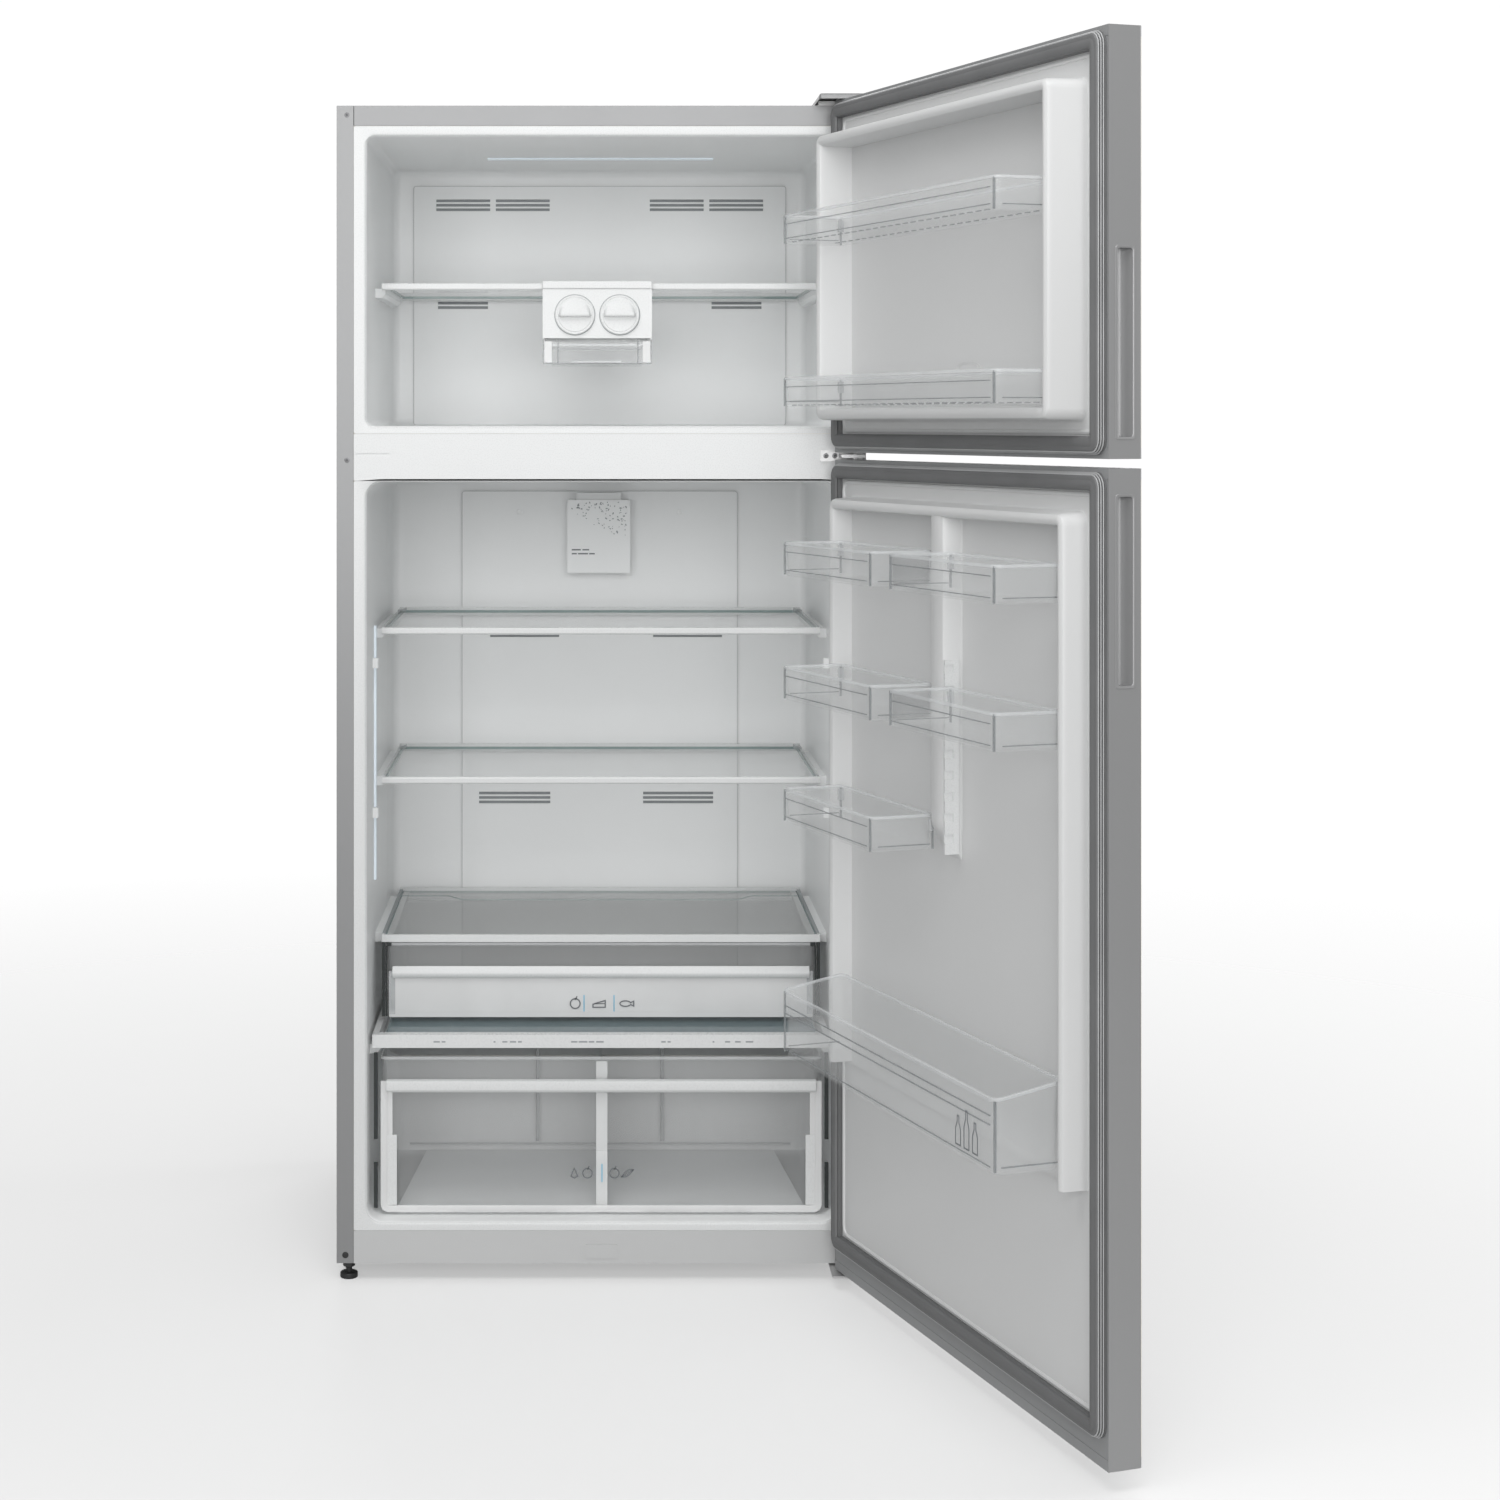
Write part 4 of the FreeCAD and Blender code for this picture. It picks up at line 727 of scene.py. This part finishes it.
def ice_dial(side, name):
    """A turned disc with a tapering thumb grip across it."""
    middle = KNOB_MIDDLE + side * KNOB_PITCH
    piece = Piece(f"ice_dial_{name}", f"ice_tray_{name}", CABINET, "white_trim")
    rings = [(8, 114), (8, 107), (31, 107), (32, 106), (32, 104), (31, KNOB_FACE), (29.5, KNOB_FACE),
             (29, 103.8), (27.8, 103.8), (27.2, KNOB_FACE)]
    piece.loft(turned((middle, KNOB_HEIGHT), rings, 40))
    loops = []
    for step in range(-9, 10):
        x = 26.5 * math.sin(step / 9 * math.pi / 2)
        reach = math.sqrt(max(0.4, 26.6 ** 2 - x * x))
        crest = KNOB_FACE - 8.6 * min(1.0, reach / 12)
        top, low = max(reach, 0.5), -min(reach, 3.5)
        section = [(103.4, top), ((KNOB_FACE + crest) / 2 + 2.4, top * 0.62),
                   (crest + 0.8, min(top * 0.25, 4)), (crest, low * 0.2), (crest + 0.8, low * 0.8),
                   (103.4, low)]
        loops.append([(middle + x, y, KNOB_HEIGHT + rise) for y, rise in section])
    piece.loft(loops)
    piece.stroke(circle((middle, KNOB_HEIGHT), 33.0, 48), 1.0, 108.1, GREY_PRINT_AND_SHADE, closed=True)
    piece.done(f"ice_knob_{name}", sharp=30)


def ice_brow():
    """The white lip along the top of the ice maker's front."""
    piece = Piece("ice_maker_brow", "cabinet", CABINET, "white_trim")
    outline = rectangle((-95, 83), (1580, 1592))
    piece.loft([[(x, y, z) for x, z in outline] for y in (105.5, 108.2)])
    piece.done(bevel=1.0)


def ice_store():
    """The ice bin, with an outlined clear front and frosted end posts."""
    piece = Piece("ice_store", "ice_bin", CABINET, "clear_plastic")
    tub(piece, (-86, 74), (111, 318), (1457, 1490.5), 2, 5, draft=3)
    piece.bar((-94, 82), (108, 111.4), (1458, 1497))
    for x in (-94, -70, 60, 82):
        piece.bar((x - 0.8, x + 0.8), (107.4, 109), (1458, 1497), SHADED_CLEAR_EDGE)
    piece.bar((-94, 82), (107.4, 109), (1457, 1458.8), SHADED_CLEAR_EDGE)
    piece.bar((-46, 34), (101, 108.6), (1459, 1462), SHEEN_CLEAR_RIM)
    for x in ((-92, -80), (68, 80)):
        piece.bar(x, (106.6, 108.4), (1460, 1494), FROSTED)
    piece.done("ice_bin")


# ---------------------------------------------------------------- shelves, panels and trim

def shelves():
    """Green glass edges on every shelf, side rails on two, and a painted sheen on the lowest pane."""
    piece = Piece("shelf_sides", "cabinet", CABINET, "white_trim")
    front, rear = SHELF_SPAN
    for top in (FREEZER_SHELF, UPPER_SHELF, MIDDLE_SHELF, LOWER_SHELF):
        for side in SIDES:
            edge = sorted((side * 350, side * 353))
            piece.bar(edge, (front + 2, rear), (top - 5.2, top - 0.7), GLASS_EDGE)
        for y in ((127.8, 129.4), (519.6, 521.4)):
            piece.bar((-352, 352), y, (top - 5.2, top - 0.8), GLASS_EDGE)
    for top in (UPPER_SHELF, MIDDLE_SHELF):
        for side in SIDES:
            brace = [(side * 357.5, 470), (side * 357.5, 527), (side * 344, 527)]
            piece.loft([[(x, y, z) for x, y in brace] for z in (top - 4, top + 3.5)], SHEEN_CLEAR_RIM)
            rail = sorted((side * 353.5, side * 357.5))
            piece.bar(rail, (front, rear + 1), (top - 6, top + 1.6), SHEEN_CLEAR_RIM)
    for side in SIDES:
        piece.bar(sorted((side * 340, side * 352)), SHELF_SPAN, (518, 523.6), FROSTED)
        piece.bar(sorted((side * 352, side * 357.5)), (front + 1, rear), (519, 527), GREY_PRINT_AND_SHADE)
        # Dark bars under the front corners of the lowest shelf: painted shade.
        piece.bar(sorted((side * 342, side * 350)), (118.6, 120.4), (507, 513), GAP_SHADE_AND_JOINT)
    # The lowest pane carries a painted sheen.
    piece.face([(x, y, LOWER_SHELF - 0.2) for x, y in rectangle((-349, 349), (131, 519))], PAINTED_GLASS_SHEEN)
    ridge = [(-352, 470), (-268, 470), (-240, 432), (240, 432), (268, 470), (352, 470)]
    line = [(-1, 524.3), (1, 524.3), (1, 525.2), (-1, 525.2)]
    piece.sweep(ridge, line, GLASS_EDGE, closed=False, upright=False)
    piece.done(bevel=0.3)


def vents():
    """Grey faces behind the vent slots of both rear panels: painted shade in the slots."""
    piece = Piece("vent_slot_shade", "cabinet", CABINET, "panel_white")
    rows = (((1740, 1765), (-294, -90), (90, 294)), ((1564, 1597), (-291, -201), (201, 291)),
            ((974, 996), (-199, -71), (94, 222)), ((675, 700), (-219, -87), (76, 206)))
    for z, *groups in rows:
        for x in groups:
            piece.bar(x, (550.5, 552), z, GREY_PRINT_AND_SHADE)
    piece.done()


def panel_seams():
    """A fine line round each rear panel, and two plugs on the lower one."""
    piece = Piece("panel_seams", "cabinet", CABINET, "panel_white")
    line = [(-0.5, 545.6), (0.5, 545.6), (0.5, 547), (-0.5, 547)]
    piece.sweep(rectangle((-334.4, 334.4), (1357.6, 1786.4), 4), line, SEAM)
    piece.sweep(rectangle((-247.4, 247.4), (303, 1238.4), 5), line, SEAM)
    for x in (-144, 144):
        piece.loft(turned((x, 1201), ((6, 546.2), (6, 544.8), (5.2, 544.2), (3, 544.2), (2.6, 544.8))))
    piece.done()


def filter_print():
    """A drift of small leaf shapes over the filter cover, and two rows of dashes."""
    piece = Piece("filter_print", "cabinet", CABINET, "panel_white")
    random.seed(7)
    left, low, width, height = -50, 1150, 98, 70
    for _ in range(150):
        x = left + width * random.random()
        z = low + height * random.random() ** 0.8
        if (x - left) / width + (z - low) / height < 0.75 + 0.4 * random.random():
            continue
        size, lean = 0.9 + 1.5 * random.random(), math.pi * random.random()
        mark = []
        for step in range(8):
            angle = step * math.pi / 4
            a, b = size * math.cos(angle), 0.5 * size * math.sin(angle)
            mark.append((x + a * math.cos(lean) - b * math.sin(lean),
                         z + a * math.sin(lean) + b * math.cos(lean)))
        piece.loft([[(a, y, b) for a, b in mark] for y in FILTER_FACE], GREY_PRINT_AND_SHADE)
    for x, z, length in ((-50, 1134, 16), (-31, 1134, 12), (-50, 1127, 9), (-39, 1127, 18), (-19, 1127, 10)):
        piece.bar((x, x + length), sorted(FILTER_FACE), (z, z + 2.4), PRINT_GREY)
    piece.done()


def strip_marks():
    """Small dashes along the white strip over the crisper."""
    piece = Piece("crisper_strip_marks", "cabinet", CABINET, "white_trim")
    for x, width in ((-268, 10), (-255, 6), (-172, 3), (-158, 8), (-146, 10), (-133, 6), (-48, 10),
                     (-36, 14), (-20, 9), (-8, 12), (96, 7), (106, 5), (178, 3), (198, 8), (214, 9),
                     (231, 12)):
        piece.bar((x, x + width), (30.75, 31.1), (370.5, 373), GREY_PRINT_AND_SHADE)
    piece.done()


def front_trim():
    """Dark joints at the top of the casing's front strips."""
    piece = Piece("front_trim", "cabinet", CABINET, "casing_steel")
    for side in SIDES:
        piece.bar(sorted((side * 393.2, side * 392.2)), (-0.35, 0.4), (1833, 1864), GAP_SHADE_AND_JOINT)
    piece.done()


def screw_heads():
    """Flat cross-slotted heads, nearly flush so that the seals close over them."""
    piece = Piece("screw_heads", "cabinet", CABINET, "screw_steel")
    casing, bracket = 0.2, -3.6
    for x, z, base in ((-403.5, 1849.5, casing), (403.5, 1849.5, casing), (-403.5, 1302, casing),
                       (356, 1309, bracket), (370, 1309, bracket)):
        piece.loft(turned((x, z), ((4.2, base), (4.2, base - 0.3), (3.6, base - 0.44), (1.5, base - 0.5))))
        # The cross slots are dark bars on the heads, not cut: painted shade in the slots.
        for wide, tall in ((2.2, 0.5), (0.5, 2.2)):
            piece.bar((x - wide, x + wide), (base - 0.56, base - 0.4), (z - tall, z + tall), GAP_SHADE_AND_JOINT)
    piece.done("screws")


def foot_fittings():
    """A plug low on the casing's left strip, and a nut on each front foot."""
    plug = Piece("locating_plug", "cabinet", CABINET, "black_plastic")
    plug.loft(turned((-406, 41), ((5, 0.3), (5, -0.5), (3, -0.9))))
    plug.done()
    nuts = Piece("foot_nuts", "cabinet", CABINET, "black_plastic")
    for x in (-402, 402):
        nuts.loft([[(a, b, z) for a, b in circle((x, 20), radius, 6)] for radius, z in
                   ((8, 17), (9.5, 18), (9.5, 25), (8, 26))])
    nuts.done()


liners()
doors()
chiller()
crisper()
drawer_gap_shade()
ice_dial(-1, "left")
ice_dial(1, "right")
ice_brow()
ice_store()
shelves()
vents()
panel_seams()
filter_print()
strip_marks()
front_trim()
screw_heads()
foot_fittings()


# ---------------------------------------------------------------- floor, light and camera

def floor():
    """A pale disc that fades out well before its edge."""
    mesh = bpy.data.meshes.new("floor")
    grid = bmesh.new()
    bmesh.ops.create_circle(grid, cap_ends=True, radius=7, segments=96)
    grid.to_mesh(mesh)
    grid.free()
    ground = bpy.data.objects.new("floor", mesh)
    bpy.context.scene.collection.objects.link(ground)
    look = material("pale_floor", (0.93, 0.93, 0.93), 0.6, spread=0.006, patch=1.5, grain=90, bump=0.02)
    mesh.materials.append(look)
    tree = look.node_tree
    place = tree.nodes.new("ShaderNodeTexCoord")
    length = tree.nodes.new("ShaderNodeVectorMath")
    length.operation = "LENGTH"
    tree.links.new(place.outputs["Object"], length.inputs[0])
    fade = tree.nodes.new("ShaderNodeMapRange")
    fade.inputs["From Min"].default_value = 1.0
    fade.inputs["From Max"].default_value = 4.2
    fade.inputs["To Min"].default_value = 0.62
    fade.inputs["To Max"].default_value = 0.0
    tree.links.new(length.outputs["Value"], fade.inputs["Value"])
    tree.links.new(fade.outputs["Result"], tree.nodes["Principled BSDF"].inputs["Alpha"])


def world():
    """White to the camera, and a soft fill to everything else."""
    sky = bpy.data.worlds.new("studio")
    bpy.context.scene.world = sky
    sky.use_nodes = True
    tree = sky.node_tree
    lit = tree.nodes["Background"]
    lit.inputs["Color"].default_value = (1, 1, 1, 1)
    lit.inputs["Strength"].default_value = 0.30
    seen = tree.nodes.new("ShaderNodeBackground")
    seen.inputs["Strength"].default_value = 1.02
    seen.inputs["Color"].default_value = (1, 1, 1, 1)
    rays = tree.nodes.new("ShaderNodeLightPath")
    mix = tree.nodes.new("ShaderNodeMixShader")
    tree.links.new(rays.outputs["Is Camera Ray"], mix.inputs["Fac"])
    tree.links.new(lit.outputs["Background"], mix.inputs[1])
    tree.links.new(seen.outputs["Background"], mix.inputs[2])
    tree.links.new(mix.outputs["Shader"], tree.nodes["World Output"].inputs["Surface"])


def softbox(name, place, aim, size, power):
    """A rectangular lamp in metres and watts, turned towards its aim."""
    light = bpy.data.lights.new(name, "AREA")
    light.shape = "RECTANGLE"
    light.size, light.size_y = size
    light.energy = power
    lamp = bpy.data.objects.new(name, light)
    bpy.context.scene.collection.objects.link(lamp)
    lamp.location = place
    lamp.rotation_mode = "QUATERNION"
    lamp.rotation_quaternion = (Vector(aim) - Vector(place)).to_track_quat("-Z", "Y")


def camera():
    """A level camera whose shift brings the whole object into the frame."""
    lens = bpy.data.cameras.new("camera")
    lens.sensor_width = 36
    lens.lens = 61.91
    lens.shift_x, lens.shift_y = 0.108, -0.2179
    lens.clip_start, lens.clip_end = 0.05, 60
    view = bpy.data.objects.new("camera", lens)
    view.location = (-0.1536, -4.0246, 1.3607)
    view.rotation_euler = (math.radians(90), 0, 0)
    bpy.context.scene.collection.objects.link(view)
    bpy.context.scene.camera = view


floor()
world()
softbox("overhead", (-0.5, -1.7, 3.6), (-0.1, 0, 1.2), (3.0, 2.0), 52)
softbox("front", (-0.3, -5.2, 1.95), (-0.1, 0.3, 1.15), (3.8, 2.4), 130)
softbox("rear", (0.6, 4.6, 3.0), (0, 0, 0.9), (4.5, 3.0), 80)
softbox("right", (4.6, 0.6, 2.4), (0.4, 0.1, 0.9), (3.0, 3.0), 70)
camera()
bpy.context.scene.view_settings.view_transform = "Standard"
